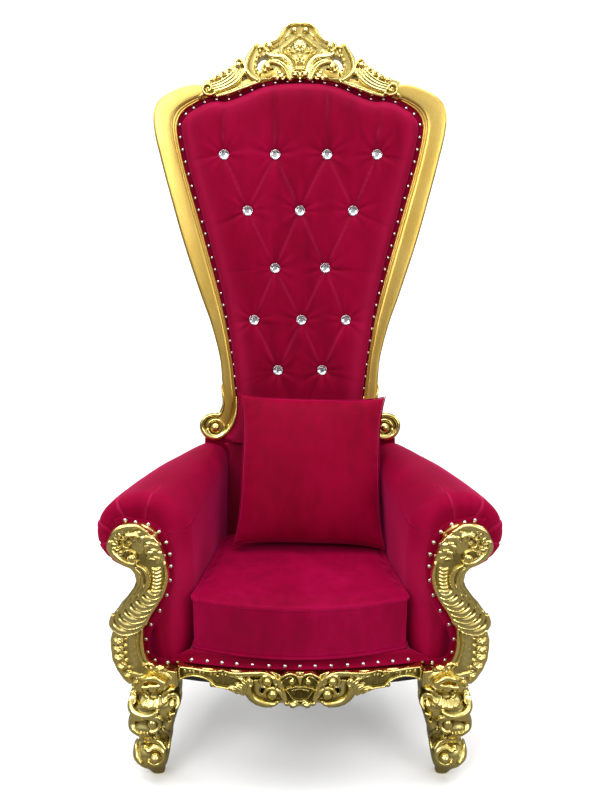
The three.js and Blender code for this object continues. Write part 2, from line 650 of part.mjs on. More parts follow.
function crest() {
  const ring = smooth(crestOutline, 34);
  const outline = [...ring, ...ring.slice(1, -1).reverse().map(mirror)];
  const plate = loft([crestBack, crestFront + 4, crestFront].map((n, i) => {
    const inset = i === 2 ? 0.985 : 1;
    return outline.map(([u, s]) => new THREE.Vector3(u * inset, n, 1035 + (s - 1035) * inset));
  }));
  const holes = [-1, 1].flatMap((side) => crestOpenings.map((points) =>
    loft([crestBack + 5, crestFront - 5].map((n) =>
      points.map(([u, s]) => new THREE.Vector3(side * u, n, s))))));
  const carved = [-1, 1].flatMap((side) => {
    const place = (u, s, height) => backPlace(crestFront)(side * u, s, height);
    return [
      strand(place, [[10, 1096], [34, 1090], [56, 1062], [78, 1052]], 16, reliefHeight, 5, 4),
      strand(place, [[0, 1066], [32, 1052], [50, 1034], [26, 1014], [14, 990]], 9, reliefHeight * 0.8, 5, 4),
      strand(place, [[112, 1052], [132, 1024], [138, 996], [126, 974], [106, 964]], 20, reliefHeight, 6, 4),
      strand(place, [[22, 976], [44, 1002], [70, 1012], [88, 1002], [86, 992]], 17, reliefHeight, 6, 4),
      strand(place, [[160, 1004], [168, 980], [196, 956], [234, 948], [252, 938]], 24, reliefHeight, 6, 4),
      boss(place, [16, 1093], 10, reliefHeight * 1.2, 6),
      boss(place, [82, 1050], 10, reliefHeight * 1.2, 6),
      boss(place, [90, 994], 10, reliefHeight, 6),
      boss(place, [162, 1004], 9, reliefHeight, 6),
      boss(place, [242, 940], 12, reliefHeight * 0.8, 6),
    ];
  });
  const rosette = boss(backPlace(crestFront), [0, 1036], 20, reliefHeight, 6);
  const pierced = holes.reduce((left, hole) => left.subtract(hole), plate);
  const carving = join([pierced, ...carved, rosette]);
  return carving.subtract(backFrame(gap));
}
addPiece(back, 'crest', crest(), gilt);

// Throw pillow: thick in the middle, thin at its edges, with its corners drawn out
function throwPillow() {
  const steps = 8;
  const half = pillowSize / 2;
  const shares = Array.from({ length: steps + 1 }, (_, i) => -Math.cos((Math.PI * i) / steps));
  const rim = (a, b) => {
    const pinch = 1 - 0.075 * (1 - b * b) * Math.abs(a) - 0.03 * Math.abs(b);
    return a * half * pinch;
  };
  const rings = shares.map((b) => {
    const puff = (a) => (pillowThickness / 2) * ((1 - a ** 4) * (1 - b ** 4)) ** 0.45 + 2;
    const front = shares.map((a) => new THREE.Vector3(rim(a, b), -puff(a), rim(b, a)));
    const rear = [...shares].reverse().map((a) => new THREE.Vector3(rim(a, b), puff(a), rim(b, a)));
    return [...front, ...rear];
  });
  return loft(rings);
}
const pillow = addPiece(throne, 'throw_pillow', throwPillow(), cushionVelvet);
const pillowRise = (pillowSize / 2) * Math.cos(radians(pillowLean));
pillow.position.set(pillowX, pillowFootY + (pillowSize / 2) * Math.sin(radians(pillowLean)),
  seatHeight + cushionCrown + 8 + pillowRise);
pillow.rotation.set(-radians(pillowLean), radians(pillowTurn), 0);

// The origin is on the floor, under the middle of the whole chair
const bounds = new THREE.Box3().setFromObject(throne, true);
throne.position.y = -(bounds.min.y + bounds.max.y) / 2;

export default throne;
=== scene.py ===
import math
import bmesh
import bpy
import numpy as np
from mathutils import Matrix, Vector, noise
from mathutils.geometry import tessellate_polygon

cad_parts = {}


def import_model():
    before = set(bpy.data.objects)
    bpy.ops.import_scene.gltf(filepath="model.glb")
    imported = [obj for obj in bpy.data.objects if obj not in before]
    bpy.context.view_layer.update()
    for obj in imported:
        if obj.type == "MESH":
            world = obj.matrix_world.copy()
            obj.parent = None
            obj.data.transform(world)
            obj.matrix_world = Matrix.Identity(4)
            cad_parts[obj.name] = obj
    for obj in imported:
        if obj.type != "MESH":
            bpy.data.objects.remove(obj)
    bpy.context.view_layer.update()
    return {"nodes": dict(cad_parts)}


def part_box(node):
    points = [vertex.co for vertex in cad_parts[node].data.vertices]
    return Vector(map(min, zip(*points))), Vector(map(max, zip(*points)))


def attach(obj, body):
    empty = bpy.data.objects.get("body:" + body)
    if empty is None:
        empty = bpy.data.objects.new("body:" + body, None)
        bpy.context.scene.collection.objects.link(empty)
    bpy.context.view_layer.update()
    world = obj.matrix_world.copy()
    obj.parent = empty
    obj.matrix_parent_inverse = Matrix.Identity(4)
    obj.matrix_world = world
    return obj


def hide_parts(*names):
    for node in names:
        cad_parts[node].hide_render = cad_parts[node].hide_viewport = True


# A high-back rococo throne. Outlines are in millimetres, as the carver would draw them;
# everything that reaches Blender is in metres, in the row frame.
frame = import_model()
scene = bpy.context.scene
MM = 0.001

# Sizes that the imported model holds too, in millimetres
ARM_FRONT = 20.0
SEAT_FRONT_HALF = 260.0
SEAT_NARROWING = 0.135
DECK_TOP = 329.0
CUSHION_THICKNESS = 131.0
CUSHION_DEPTH = 378.0
CUSHION_INSET = 6.0
CUSHION_BOW = 50.0
BASE_BOW = 36.0
BASE_FRONT = 14.0
GAP = 0.5
ARM_TOP = 704.0
ARM_TOP_FALL = 16.0
ARM_RADIUS = (105.0, 54.0)
ARM_EDGE = 26.0
PANEL_OFFSET = 0.1
ROLL_FLATNESS = 0.9
NECK_ANGLE = -80.0
LEG_HEIGHT = 240.0
RAIL_TOP = 281.0
BLOCK_INNER = 285.0
BLOCK_DEPTH = 128.0
POST_FACE = -12.5
POST_REAR = 19.5
CHEEK_DEPTH = 66.0
APRON_THICKNESS = 25.0
APRON_TOP = 303.0
BACK_LEAN = math.radians(8.8)
BACK_Y = 480.0
BACK_PIVOT = 700.0
FRAME_DEPTH = 45.0
PAD_REAR = 21.0
PAD_CROWN = 38.0
PAD_BORDER = 5.0
PATCH_CLEARANCE = -1.0
REAR_THICKNESS = 24.0
REAR_CROWN = 8.0
VOLUTE = (233.0, 30.0)
VOLUTE_RADIUS = 39.0
CREST_BACK = 30.0
BUTTON_SEAT = -20.0
PILLOW_SIZE = 390.0
PILLOW_THICKNESS = 124.0
PILLOW_LEAN = math.radians(27)
PILLOW_TURN = math.radians(1.5)
PILLOW_HEIGHT = 401.7
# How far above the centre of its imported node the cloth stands; it doesn't touch the cushion
PILLOW_LIFT = 4.0
# How much the sides and the ends draw in between the corners, and how close to the corners that starts
PILLOW_SIDES = (0.085, 3.4)
PILLOW_ENDS = (0.065, 4)
SIMULATED_MOVE = 7 * MM

# The outlines are drawn with the arms' front faces at ARM_FRONT; this moves them to the frame
SHIFT_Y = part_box("arm_left")[0].y / MM - ARM_FRONT
STILE_FOOT_Y = BACK_Y + (RAIL_TOP - BACK_PIVOT) * math.tan(BACK_LEAN)


def inner_line(y):
    return SEAT_FRONT_HALF - SEAT_NARROWING * y


def back_y_at(z):
    return BACK_Y + (z - BACK_PIVOT) * np.tan(BACK_LEAN)


def bow_at(u, half, depth):
    return depth * (1 - np.minimum(1, (u / half) ** 2))


def world(x, y, z):
    return np.stack(np.broadcast_arrays(x, y + SHIFT_Y, z), -1) * MM


# Where a point of each carved surface lies: u across, v up, h out of the surface
def back_place(face):
    def place(u, s, h):
        n = face - h
        y = BACK_Y + n * math.cos(BACK_LEAN) + s * math.sin(BACK_LEAN)
        z = BACK_PIVOT - n * math.sin(BACK_LEAN) + s * math.cos(BACK_LEAN)
        return world(u, y, z)
    return place


def post_place(u, z, h):
    return world(u, POST_FACE - h, z)


def apron_face(u):
    return BASE_FRONT - bow_at(u, BLOCK_INNER, BASE_BOW) - GAP - APRON_THICKNESS


def apron_place(u, z, h):
    return world(u, apron_face(u) - h, z)


# Curves and sections

def unit(v):
    return v / np.linalg.norm(v, axis=1)[:, None]


def leftward(slope):
    return np.stack([-slope[:, 1], slope[:, 0]], -1)


def run_of(line):
    """How far along a line each of its points lies"""
    return np.concatenate([[0], np.cumsum(np.linalg.norm(np.diff(line, axis=0), axis=1))])


def spline(points, at):
    """A smooth curve through the points; at runs from 0 to 1 over all of them"""
    p = np.array(points, float)
    p = np.vstack([2 * p[0] - p[1], p, 2 * p[-1] - p[-2]])
    spans = len(p) - 3
    x = np.clip(np.asarray(at, float), 0, 1) * spans
    i = np.minimum(x.astype(int), spans - 1)
    t = (x - i)[:, None]
    a, b, c, d = p[i], p[i + 1], p[i + 2], p[i + 3]
    return 0.5 * (2 * b + (c - a) * t + (2 * a - 5 * b + 4 * c - d) * t ** 2 + (3 * b - a - 3 * c + d)
                  * t ** 3)


def even(points, step):
    """The curve through the points, walked in even steps"""
    dense = spline(points, np.linspace(0, 1, 24 * len(points)))
    run = run_of(dense)
    count = max(4, int(run[-1] / step) + 1)
    at = np.linspace(0, run[-1], count)
    return np.stack([np.interp(at, run, dense[:, k]) for k in range(dense.shape[1])], -1)


def along(value, t):
    values = np.atleast_1d(np.array(value, float))
    return np.interp(t, np.linspace(0, 1, len(values)), values)


def dome(c):
    return np.sqrt(np.maximum(0, 1 - c ** 2))


def ridge(c):
    return (1 - np.abs(c)) ** 0.8


def ribbed(c):
    """A full rib with its rim on one side"""
    rim = np.exp(-((c - 0.64) / 0.24) ** 2)
    return np.maximum(rim, 0.78 * dome(c) + 0.08 * c) * np.minimum(1, (1 - np.abs(c)) / 0.12)


def grooved(count):
    """A smooth band with fine grooves along it"""
    def section(c):
        x = (c + 1) / 2 * count
        line = np.round(x)
        inside = (line > 0.5) & (line < count - 0.5)
        return dome(c) ** 0.6 * (1 - 0.5 * inside * np.exp(-((x - line) / 0.17) ** 2))
    return section


class Carving:
    """Closed bodies gathered in one mesh, each laid on a surface by a place function"""

    def __init__(self, place):
        self.place = place
        self.points = []
        self.faces = []
        self.total = 0

    def body(self, points, faces):
        self.points.append(points.reshape(-1, 3))
        self.faces += [tuple(int(i) + self.total for i in face) for face in faces]
        self.total += self.points[-1].shape[0]

    def rings(self, grid):
        """A closed body through rings, capped by a fan at either end"""
        count, sides = grid.shape[:2]
        faces = []
        for r in range(count - 1):
            for k in range(sides):
                j = (k + 1) % sides
                faces.append((r * sides + k, r * sides + j, (r + 1) * sides + j, (r + 1) * sides + k))
        caps = np.stack([grid[0].mean(0), grid[-1].mean(0)])
        first = count * sides
        for k in range(sides):
            j = (k + 1) % sides
            faces.append((first, j, k))
            faces.append((first + 1, first - sides + k, first - sides + j))
        self.body(np.vstack([grid.reshape(-1, 3), caps]), faces)

    def sweep(self, path, width, height, section=dome, sink=5.0, ends=(1.0, 1.0), across=12):
        """A band of carving along a path, with rounded ends"""
        line = even(path, 2.2)
        n = len(line)
        t = np.linspace(0, 1, n)
        half = along(width, t) / 2
        rise = along(height, t)
        run = run_of(line)
        for end, reach in ((run, ends[0] * max(half[0], 1.5)), (run[-1] - run, ends[1] * max(half[-1], 1.5))):
            if reach > 0:
                close = np.sqrt(np.maximum(0, 1 - (1 - np.clip(end / reach, 0, 1)) ** 2))
                half = half * np.maximum(close, 0.06)
                rise = rise * np.maximum(close, 0.15)
        slope = unit(np.gradient(line, axis=0))
        normal = leftward(slope)
        c = np.linspace(-1, 1, across + 1)
        uv = line[:, None, :] + normal[:, None, :] * (c[None, :] * half[:, None])[:, :, None]
        h = section(c)[None, :] * rise[:, None]
        edge = uv[:, [-1, 0]]
        uv = np.concatenate([uv, edge], 1)
        h = np.concatenate([h, np.full((n, 2), -sink)], 1)
        self.rings(self.place(uv[..., 0], uv[..., 1], h))

    def ball(self, centre, radius, height):
        """A knob, eye or bead"""
        down = np.linspace(0.04, math.pi - 0.04, 11)[:, None]
        round_ = np.linspace(0, 2 * math.pi, 18, endpoint=False)[None, :]
        u = centre[0] + radius * np.sin(down) * np.cos(round_)
        v = centre[1] + radius * np.sin(down) * np.sin(round_)
        h = height - radius + radius * np.cos(down) * np.ones_like(round_)
        self.rings(self.place(u, v, h))

    def leaf(self, spine, width, height, lobes=4, sink=5.0, notch=0.32, hollow=0.0):
        """An acanthus leaf: lobed edges, a midrib, and veins that run out to the lobes"""
        line = even(spine, 2.0)
        n = len(line)
        t = np.linspace(0, 1, n)
        swell = np.sin(np.pi * np.clip(0.14 + 0.86 * t, 0, 1)) ** 0.75
        saw = (lobes * t) % 1.0
        half = width / 2 * np.maximum(0.05, swell * (1 - notch * saw ** 2))
        slope = unit(np.gradient(line, axis=0))
        normal = leftward(slope)
        c = np.linspace(-1, 1, 19)
        lag = np.abs(c)[None, :] * (0.55 / lobes)
        uv = line[:, None, :] + normal[:, None, :] * (c[None, :] * half[:, None])[:, :, None]
        uv = uv + slope[:, None, :] * (lag * half[:, None] * 1.2)[:, :, None]
        vein = 0.80 + 0.20 * np.cos(2 * np.pi * (lobes * (t[:, None] - lag) + 0.15))
        rib = 0.16 * np.exp(-(c / 0.13) ** 2)[None, :] - hollow * np.exp(-(c / 0.5) ** 2)[None, :]
        h = height * np.maximum(0.1, swell[:, None] ** 0.5) * (dome(c * 0.97)[None, :] ** 0.8 * vein + rib)
        edge = uv[:, [-1, 0]]
        uv = np.concatenate([uv, edge], 1)
        h = np.concatenate([h, np.full((n, 2), -sink)], 1)
        self.rings(self.place(uv[..., 0], uv[..., 1], h))

    def scroll(self, lead, centre, radius, start, turns, width, height, section=dome, eye=0.0, shrink=0.3):
        """A band that runs in along a lead and winds up round an eye; start and turns are in degrees"""
        steps = max(4, int(abs(turns) / 24))
        t = np.linspace(0, 1, steps + 1)
        angle = np.radians(start + turns * t)
        r = radius * (1 - (1 - shrink) * t)
        coil = np.stack([centre[0] + r * np.cos(angle), centre[1] + r * np.sin(angle)], -1)
        self.sweep([*lead, *coil.tolist()], width, height, section)
        if eye:
            self.ball(centre, eye, np.max(height) * 1.12)

    def petals(self, pairs, bend, width, height, hollow):
        """Plain leaves from base to tip, each bent at its middle"""
        for a, b in pairs:
            middle = ((a[0] + b[0]) / 2 + bend[0], (a[1] + b[1]) / 2 + bend[1])
            self.leaf([a, middle, b], width, height, 1, notch=0.0, hollow=hollow)

    def bands(self, first, last, width, height):
        """Four bands side by side, from the first path to the last"""
        for share in (0, 1 / 3, 2 / 3, 1):
            self.sweep((np.array(first) * (1 - share) + np.array(last) * share).tolist(), width, height)

    def mesh(self, name):
        return mesh_object(name, np.concatenate(self.points), self.faces)

    def plate(self, outline, holes, low, high):
        """A flat body with its outline and openings"""
        loops = [[(u, v) for u, v in loop] for loop in (outline, *holes)]
        flat = [p for loop in loops for p in loop]
        triangles = tessellate_polygon([[Vector((u, v, 0)) for u, v in loop] for loop in loops])
        u, v = np.array(flat, float).T
        n = len(flat)
        faces = [tuple(f) for f in triangles] + [tuple(i + n for i in reversed(f)) for f in triangles]
        start = 0
        for loop in loops:
            m = len(loop)
            for k in range(m):
                a, b = start + k, start + (k + 1) % m
                faces.append((a, b, b + n, a + n))
            start += m
        points = np.concatenate([self.place(u, v, np.full(n, high)), self.place(u, v, np.full(n, low))])
        self.body(points, faces)


class Sunk(Carving):
    """Carving whose bodies reach further into the piece, for strongly rounded pieces"""

    def __init__(self, carving, depth):
        super().__init__(lambda u, v, h: carving.place(u, v, np.where(h < 0, h - depth, h)))
        self.carving = carving

    def body(self, points, faces):
        self.carving.body(points, faces)


class Mirrored(Carving):
    """The same carving drawn once in a half view and laid on both halves"""

    def __init__(self, carving, side):
        super().__init__(lambda u, v, h: carving.place(side * u, v, h))
        self.carving = carving

    def body(self, points, faces):
        self.carving.body(points, faces)


def mesh_object(name, points, faces):
    mesh = bpy.data.meshes.new(name)
    mesh.from_pydata([tuple(p) for p in points], [], faces)
    made = bpy.data.objects.new(name, mesh)
    scene.collection.objects.link(made)
    return made


def outward(made):
    """Turns the faces of a closed body outwards"""
    shape = bmesh.new()
    shape.from_mesh(made.data)
    bmesh.ops.recalc_face_normals(shape, faces=shape.faces)
    shape.to_mesh(made.data)
    shape.free()


def ringed(name, rings):
    c = Carving(None)
    c.rings(rings)
    made = c.mesh(name)
    outward(made)
    return made


def settle(made):
    """Applies the modifiers of an object"""
    bpy.context.view_layer.update()
    graph = bpy.context.evaluated_depsgraph_get()
    mesh = bpy.data.meshes.new_from_object(made.evaluated_get(graph))
    made.modifiers.clear()
    made.data = mesh
    return made


def mesh_points(mesh):
    co = np.zeros(len(mesh.vertices) * 3, np.float32)
    mesh.vertices.foreach_get("co", co)
    return co.reshape(-1, 3).astype(float)


def move_points(mesh, co):
    mesh.vertices.foreach_set("co", co.astype(np.float32).ravel())


def shade_smooth(made):
    made.data.polygons.foreach_set("use_smooth", np.ones(len(made.data.polygons), bool))
    made.data.update()


def mark_relief(made, rounds, scale):
    """Stores how far each point stands above (1) or below (0) its surroundings, for patina and painted shade
    in gilt hollows and painted shade in cloth creases
    """
    mesh = made.data
    co = mesh_points(mesh)
    n = len(co)
    edges = np.zeros(len(mesh.edges) * 2, np.int32)
    mesh.edges.foreach_get("vertices", edges)
    a, b = edges.reshape(-1, 2).T
    count = np.maximum(np.bincount(a, minlength=n) + np.bincount(b, minlength=n), 1)
    level = co.copy()
    for _ in range(rounds):
        level = np.stack([(np.bincount(a, level[b, k], n) + np.bincount(b, level[a, k], n)) / count
                          for k in range(3)], -1)
    normals = np.zeros(n * 3, np.float32)
    mesh.vertex_normals.foreach_get("vector", normals)
    lift = ((co - level) * normals.reshape(-1, 3)).sum(1)
    stored = mesh.attributes.new("relief", "FLOAT", "POINT")
    stored.data.foreach_set("value", np.clip(0.5 + lift / scale, 0, 1).astype(np.float32))


def mark_painted_highlight(made, strength):
    """Stores the painted highlight of each point, along the creases' edges and in bands of painted sheen"""
    stored = made.data.attributes.new("seam", "FLOAT", "POINT")
    values = np.zeros(len(made.data.vertices), np.float32)
    values[:strength.size] = strength.ravel()
    stored.data.foreach_set("value", values)


def carved_object(name, carving, voxel, budget, smoothing=2):
    """One skin over all bodies of a carving"""
    made = carving.mesh(name)
    skin = made.modifiers.new("skin", "REMESH")
    skin.mode = "VOXEL"
    skin.voxel_size = voxel * MM
    soften = made.modifiers.new("soften", "SMOOTH")
    soften.iterations = smoothing
    soften.factor = 0.5
    settle(made)
    triangles = 2 * len(made.data.polygons)
    if triangles > budget:
        thin = made.modifiers.new("thin", "DECIMATE")
        thin.ratio = budget / triangles
        settle(made)
    shade_smooth(made)
    mark_relief(made, 24, 6 * MM)
    return made


def mirror_object(made, name):
    mesh = made.data.copy()
    co = mesh_points(mesh)
    co[:, 0] *= -1
    move_points(mesh, co)
    mesh.flip_normals()
    copy = bpy.data.objects.new(name, mesh)
    scene.collection.objects.link(copy)
    return copy


def finish_piece(made, material, slot, *nodes):
    """Dresses a piece, lets it ride on the chair and stand for its nodes"""
    made.data.materials.clear()
    made.data.materials.append(material)
    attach(made, "root")
    if nodes:
        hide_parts(*nodes)
    return made


def finish_pair(left, material, kind):
    """Dresses a carving of the left side and its mirrored copy"""
    right = mirror_object(left, f"{kind}_carving_right")
    finish_piece(left, material, "gilt", f"{kind}_left")
    finish_piece(right, material, "gilt", f"{kind}_right")


# Materials

def new_material(name):
    material = bpy.data.materials.new(name)
    material.use_nodes = True
    return material, material.node_tree, material.node_tree.nodes["Principled BSDF"]


def feed(tree, made, inputs):
    for key, value in inputs.items():
        if isinstance(value, bpy.types.NodeSocket):
            tree.links.new(value, made.inputs[key])
        else:
            made.inputs[key].default_value = value


def node(tree, kind, inputs=None, **settings):
    made = tree.nodes.new(kind)
    for key, value in settings.items():
        setattr(made, key, value)
    feed(tree, made, inputs or {})
    return made


def coordinates(tree, stretch=(1, 1, 1)):
    place = node(tree, "ShaderNodeTexCoord").outputs["Object"]
    return node(tree, "ShaderNodeMapping", {"Vector": place, "Scale": stretch}).outputs["Vector"]


def noise_of(tree, vector, scale, detail=3.0, roughness=0.5, distortion=0.0):
    inputs = {"Vector": vector, "Scale": scale, "Detail": detail, "Roughness": roughness,
              "Distortion": distortion}
    return node(tree, "ShaderNodeTexNoise", inputs).outputs[0]


def calc(tree, operation, a, b=0.0):
    return node(tree, "ShaderNodeMath", {0: a, 1: b}, operation=operation).outputs[0]


def weighed(tree, *parts):
    """The sum of the parts, each a value and its weight"""
    terms = [calc(tree, "MULTIPLY", value, weight) for value, weight in parts]
    made = terms[0]
    for term in terms[1:]:
        made = calc(tree, "ADD", made, term)
    return made


def ramp(tree, factor, *stops):
    made = node(tree, "ShaderNodeValToRGB", {"Fac": factor})
    elements = made.color_ramp.elements
    while len(elements) < len(stops):
        elements.new(0.5)
    for element, (at, colour) in zip(elements, stops):
        element.position = at
        element.color = (*colour, 1) if len(colour) == 3 else colour
    return made.outputs["Color"]


def blend_colours(tree, factor, a, b):
    made = node(tree, "ShaderNodeMix", {0: factor, 6: a, 7: b}, data_type="RGBA")
    return made.outputs[2]


def relief_of(tree):
    return node(tree, "ShaderNodeAttribute", attribute_name="relief").outputs["Fac"]


def bump(tree, shader, height, strength, distance):
    inputs = {"Height": height, "Strength": strength, "Distance": distance}
    tree.links.new(node(tree, "ShaderNodeBump", inputs).outputs[0], shader.inputs["Normal"])


def gilding(name, light, deep, tarnish_and_shade, hollow_span, gloss, stipple, painted_reflection=0.0):
    """Gold leaf over carving: leaf colour on the high places, patina and painted shade, brown, in the hollows,
    and a painted reflection of the velvet low down
    """
    material, tree, shader = new_material(name)
    place = coordinates(tree)
    relief = relief_of(tree)
    cloud = noise_of(tree, place, 9.0, 4.0)
    fine = noise_of(tree, place, 240.0, 3.0, 0.6)
    tone = weighed(tree, (cloud, 0.45), (fine, 0.35))
    leaf = ramp(tree, tone, (0.28, deep), (0.56, light))
    height = calc(tree, "ADD", relief, calc(tree, "MULTIPLY", calc(tree, "SUBTRACT", fine, 0.5), 0.12))
    # The hollows turn to the hollow colour: patina and painted shade in the low places of the carving
    hollow = ramp(tree, height, (hollow_span[0], (1, 1, 1)), (hollow_span[1], (0, 0, 0)))
    # A painted reflection of the red velvet: orange-brown over the part below about 0.7 m, fading out by about
    # 1.5 m
    height = node(tree, "ShaderNodeSeparateXYZ", {0: coordinates(tree)}).outputs["Z"]
    low = ramp(tree, calc(tree, "MULTIPLY", height, 0.5), (0.36, (painted_reflection, 0, 0)), (0.76, (0, 0, 0)))
    leaf = blend_colours(tree, low, leaf, (0.60, 0.26, 0.025, 1))
    colour = blend_colours(tree, hollow, leaf, (*tarnish_and_shade, 1))
    rough = weighed(tree, (fine, 0.10), (hollow, 0.22))
    feed(tree, shader, {"Base Color": colour, "Metallic": 1.0,
                        "Roughness": calc(tree, "ADD", rough, gloss - 0.05)})
    grain = noise_of(tree, place, 900.0, 2.0)
    waves = noise_of(tree, place, 60.0, 2.0)
    height = calc(tree, "ADD", calc(tree, "MULTIPLY", grain, stipple), waves)
    bump(tree, shader, height, 0.22, 0.0012)
    return material


def velvet(name, dark, base, light, nap):
    """Crushed velvet: a soft nap that brushes lighter and darker, painted shade in its creases, painted
    highlights from the seam attribute, and a shine at its edges
    """
    material, tree, shader = new_material(name)
    place = coordinates(tree, (1, 1, 0.35))
    relief = relief_of(tree)
    cloud = noise_of(tree, place, nap, 2.0, 0.5, 0.4)
    marks = noise_of(tree, place, nap * 8, 4.0, 0.6, 0.2)
    pile = noise_of(tree, coordinates(tree), 1400.0, 2.0)
    # The relief term paints shade into the creases and light onto the raised cloth
    tone = weighed(tree, (cloud, 0.34), (marks, 0.22), (pile, 0.12),
                   (calc(tree, "SUBTRACT", relief, 0.5), 0.22))
    colour = ramp(tree, tone, (0.20, dark), (0.34, base), (0.50, light))
    # Painted highlight: a lighter red wherever the seam attribute is set
    seam = node(tree, "ShaderNodeAttribute", attribute_name="seam").outputs["Fac"]
    colour = blend_colours(tree, seam, colour, (0.55, 0.02, 0.10, 1))
    rough = calc(tree, "ADD", calc(tree, "MULTIPLY", marks, 0.2), 0.5)
    feed(tree, shader, {"Base Color": colour, "Roughness": rough, "Specular IOR Level": 0.03,
                        "Sheen Weight": 0.55,
                        "Sheen Roughness": 0.34, "Sheen Tint": (1.0, 0.035, 0.25, 1)})
    height = calc(tree, "ADD", calc(tree, "MULTIPLY", pile, 0.5), marks)
    bump(tree, shader, height, 0.12, 0.0012)
    return material


def lined_velvet(name, colour, lining, edge):
    """Velvet above a height and plain dark lining below it"""
    material, tree, shader = new_material(name)
    height = node(tree, "ShaderNodeSeparateXYZ", {0: coordinates(tree)}).outputs["Z"]
    above = calc(tree, "GREATER_THAN", height, edge)
    weave = noise_of(tree, coordinates(tree), 900.0, 2.0)
    cloth = ramp(tree, weave, (0.3, lining), (0.7, tuple(1.6 * c for c in lining)))
    feed(tree, shader, {"Base Color": blend_colours(tree, above, cloth, (*colour, 1)),
                        "Roughness": calc(tree, "ADD", calc(tree, "MULTIPLY", weave, 0.1), 0.8)})
    return material


def silvered(name, tone, gloss):
    material, tree, shader = new_material(name)
    speck = noise_of(tree, coordinates(tree), 700.0, 3.0)
    feed(tree, shader, {"Base Color": ramp(tree, speck, (0.3, tuple(0.8 * c for c in tone)), (0.6, tone)),
                        "Roughness": calc(tree, "ADD", calc(tree, "MULTIPLY", speck, 0.12), gloss - 0.06),
                        "Metallic": 1.0})
    return material


def cut_crystal(name):
    material, tree, shader = new_material(name)
    haze = noise_of(tree, coordinates(tree), 300.0, 2.0)
    feed(tree, shader, {"Base Color": ramp(tree, haze, (0.3, (0.94, 0.96, 1.0)), (0.7, (1, 1, 1))),
                        "Roughness": calc(tree, "MULTIPLY", haze, 0.04), "Transmission Weight": 1.0,
                        "IOR": 1.62})
    return material


GILT = gilding("gilt", (0.90, 0.77, 0.31), (0.76, 0.60, 0.17), (0.120, 0.090, 0.016), (0.22, 0.53), 0.22,
               0.25)
GILT_WARM = gilding("gilt_warm", (0.92, 0.78, 0.32), (0.80, 0.62, 0.18), (0.20, 0.145, 0.026), (0.16, 0.46),
                    0.23, 0.25)
GILT_PALE = gilding("gilt_pale", (0.88, 0.76, 0.35), (0.80, 0.65, 0.20), (0.30, 0.215, 0.045), (0.14, 0.42),
                    0.25, 0.25)
GILT_SATIN = gilding("gilt_satin", (0.75, 0.55, 0.16), (0.64, 0.42, 0.085), (0.14, 0.09, 0.018), (0.20, 0.46),
                     0.33, 1.2,
                     painted_reflection=1.0)
GILT_PLAIN = gilding("gilt_plain", (0.84, 0.66, 0.20), (0.70, 0.50, 0.12), (0.14, 0.09, 0.018), (0.20, 0.46),
                     0.30, 1.0)
VELVET = velvet("velvet", (0.098, 0.0, 0.008), (0.18, 0.0, 0.0155), (0.255, 0.0005, 0.028), 4.0)
PILLOW_VELVET = velvet("pillow_velvet", (0.11, 0.0, 0.007), (0.185, 0.0, 0.015), (0.26, 0.0, 0.026), 4.5)
CUSHION_VELVET = velvet("cushion_velvet", (0.12, 0.0, 0.012), (0.20, 0.0, 0.022), (0.28, 0.001, 0.040), 5.0)
LINED_VELVET = lined_velvet("lined_velvet", (0.17, 0.0, 0.018), (0.012, 0.011, 0.010), 0.2805)
NICKEL = silvered("nickel", (0.80, 0.78, 0.74), 0.22)
SILVER = silvered("silver_foil", (0.92, 0.92, 0.94), 0.10)
CRYSTAL = cut_crystal("cut_crystal")


# Crest

CREST_FACE = -8.0
CREST_OUTLINE = [(0, 1108), (22, 1107), (40, 1096), (52, 1078), (64, 1065), (84, 1059), (99, 1047),
                 (112, 1057),
                 (126, 1042), (138, 1022), (146, 1008), (164, 1010), (196, 990), (222, 972), (250, 962),
                 (266, 958),
                 (264, 940), (250, 926), (226, 922), (190, 930), (150, 943), (112, 958), (60, 966), (0, 968)]
CREST_OPENINGS = [[(93, 1023), (104, 1020), (112, 1012), (116, 998), (112, 985), (103, 985), (101, 996),
                   (92, 1006),
                   (82, 1012)],
                  [(101, 978), (98, 967), (86, 964), (73, 967), (67, 978), (70, 990), (77, 990), (81, 979),
                   (92, 975)],
                  [(144, 973), (135, 959), (156, 957), (149, 971)]]


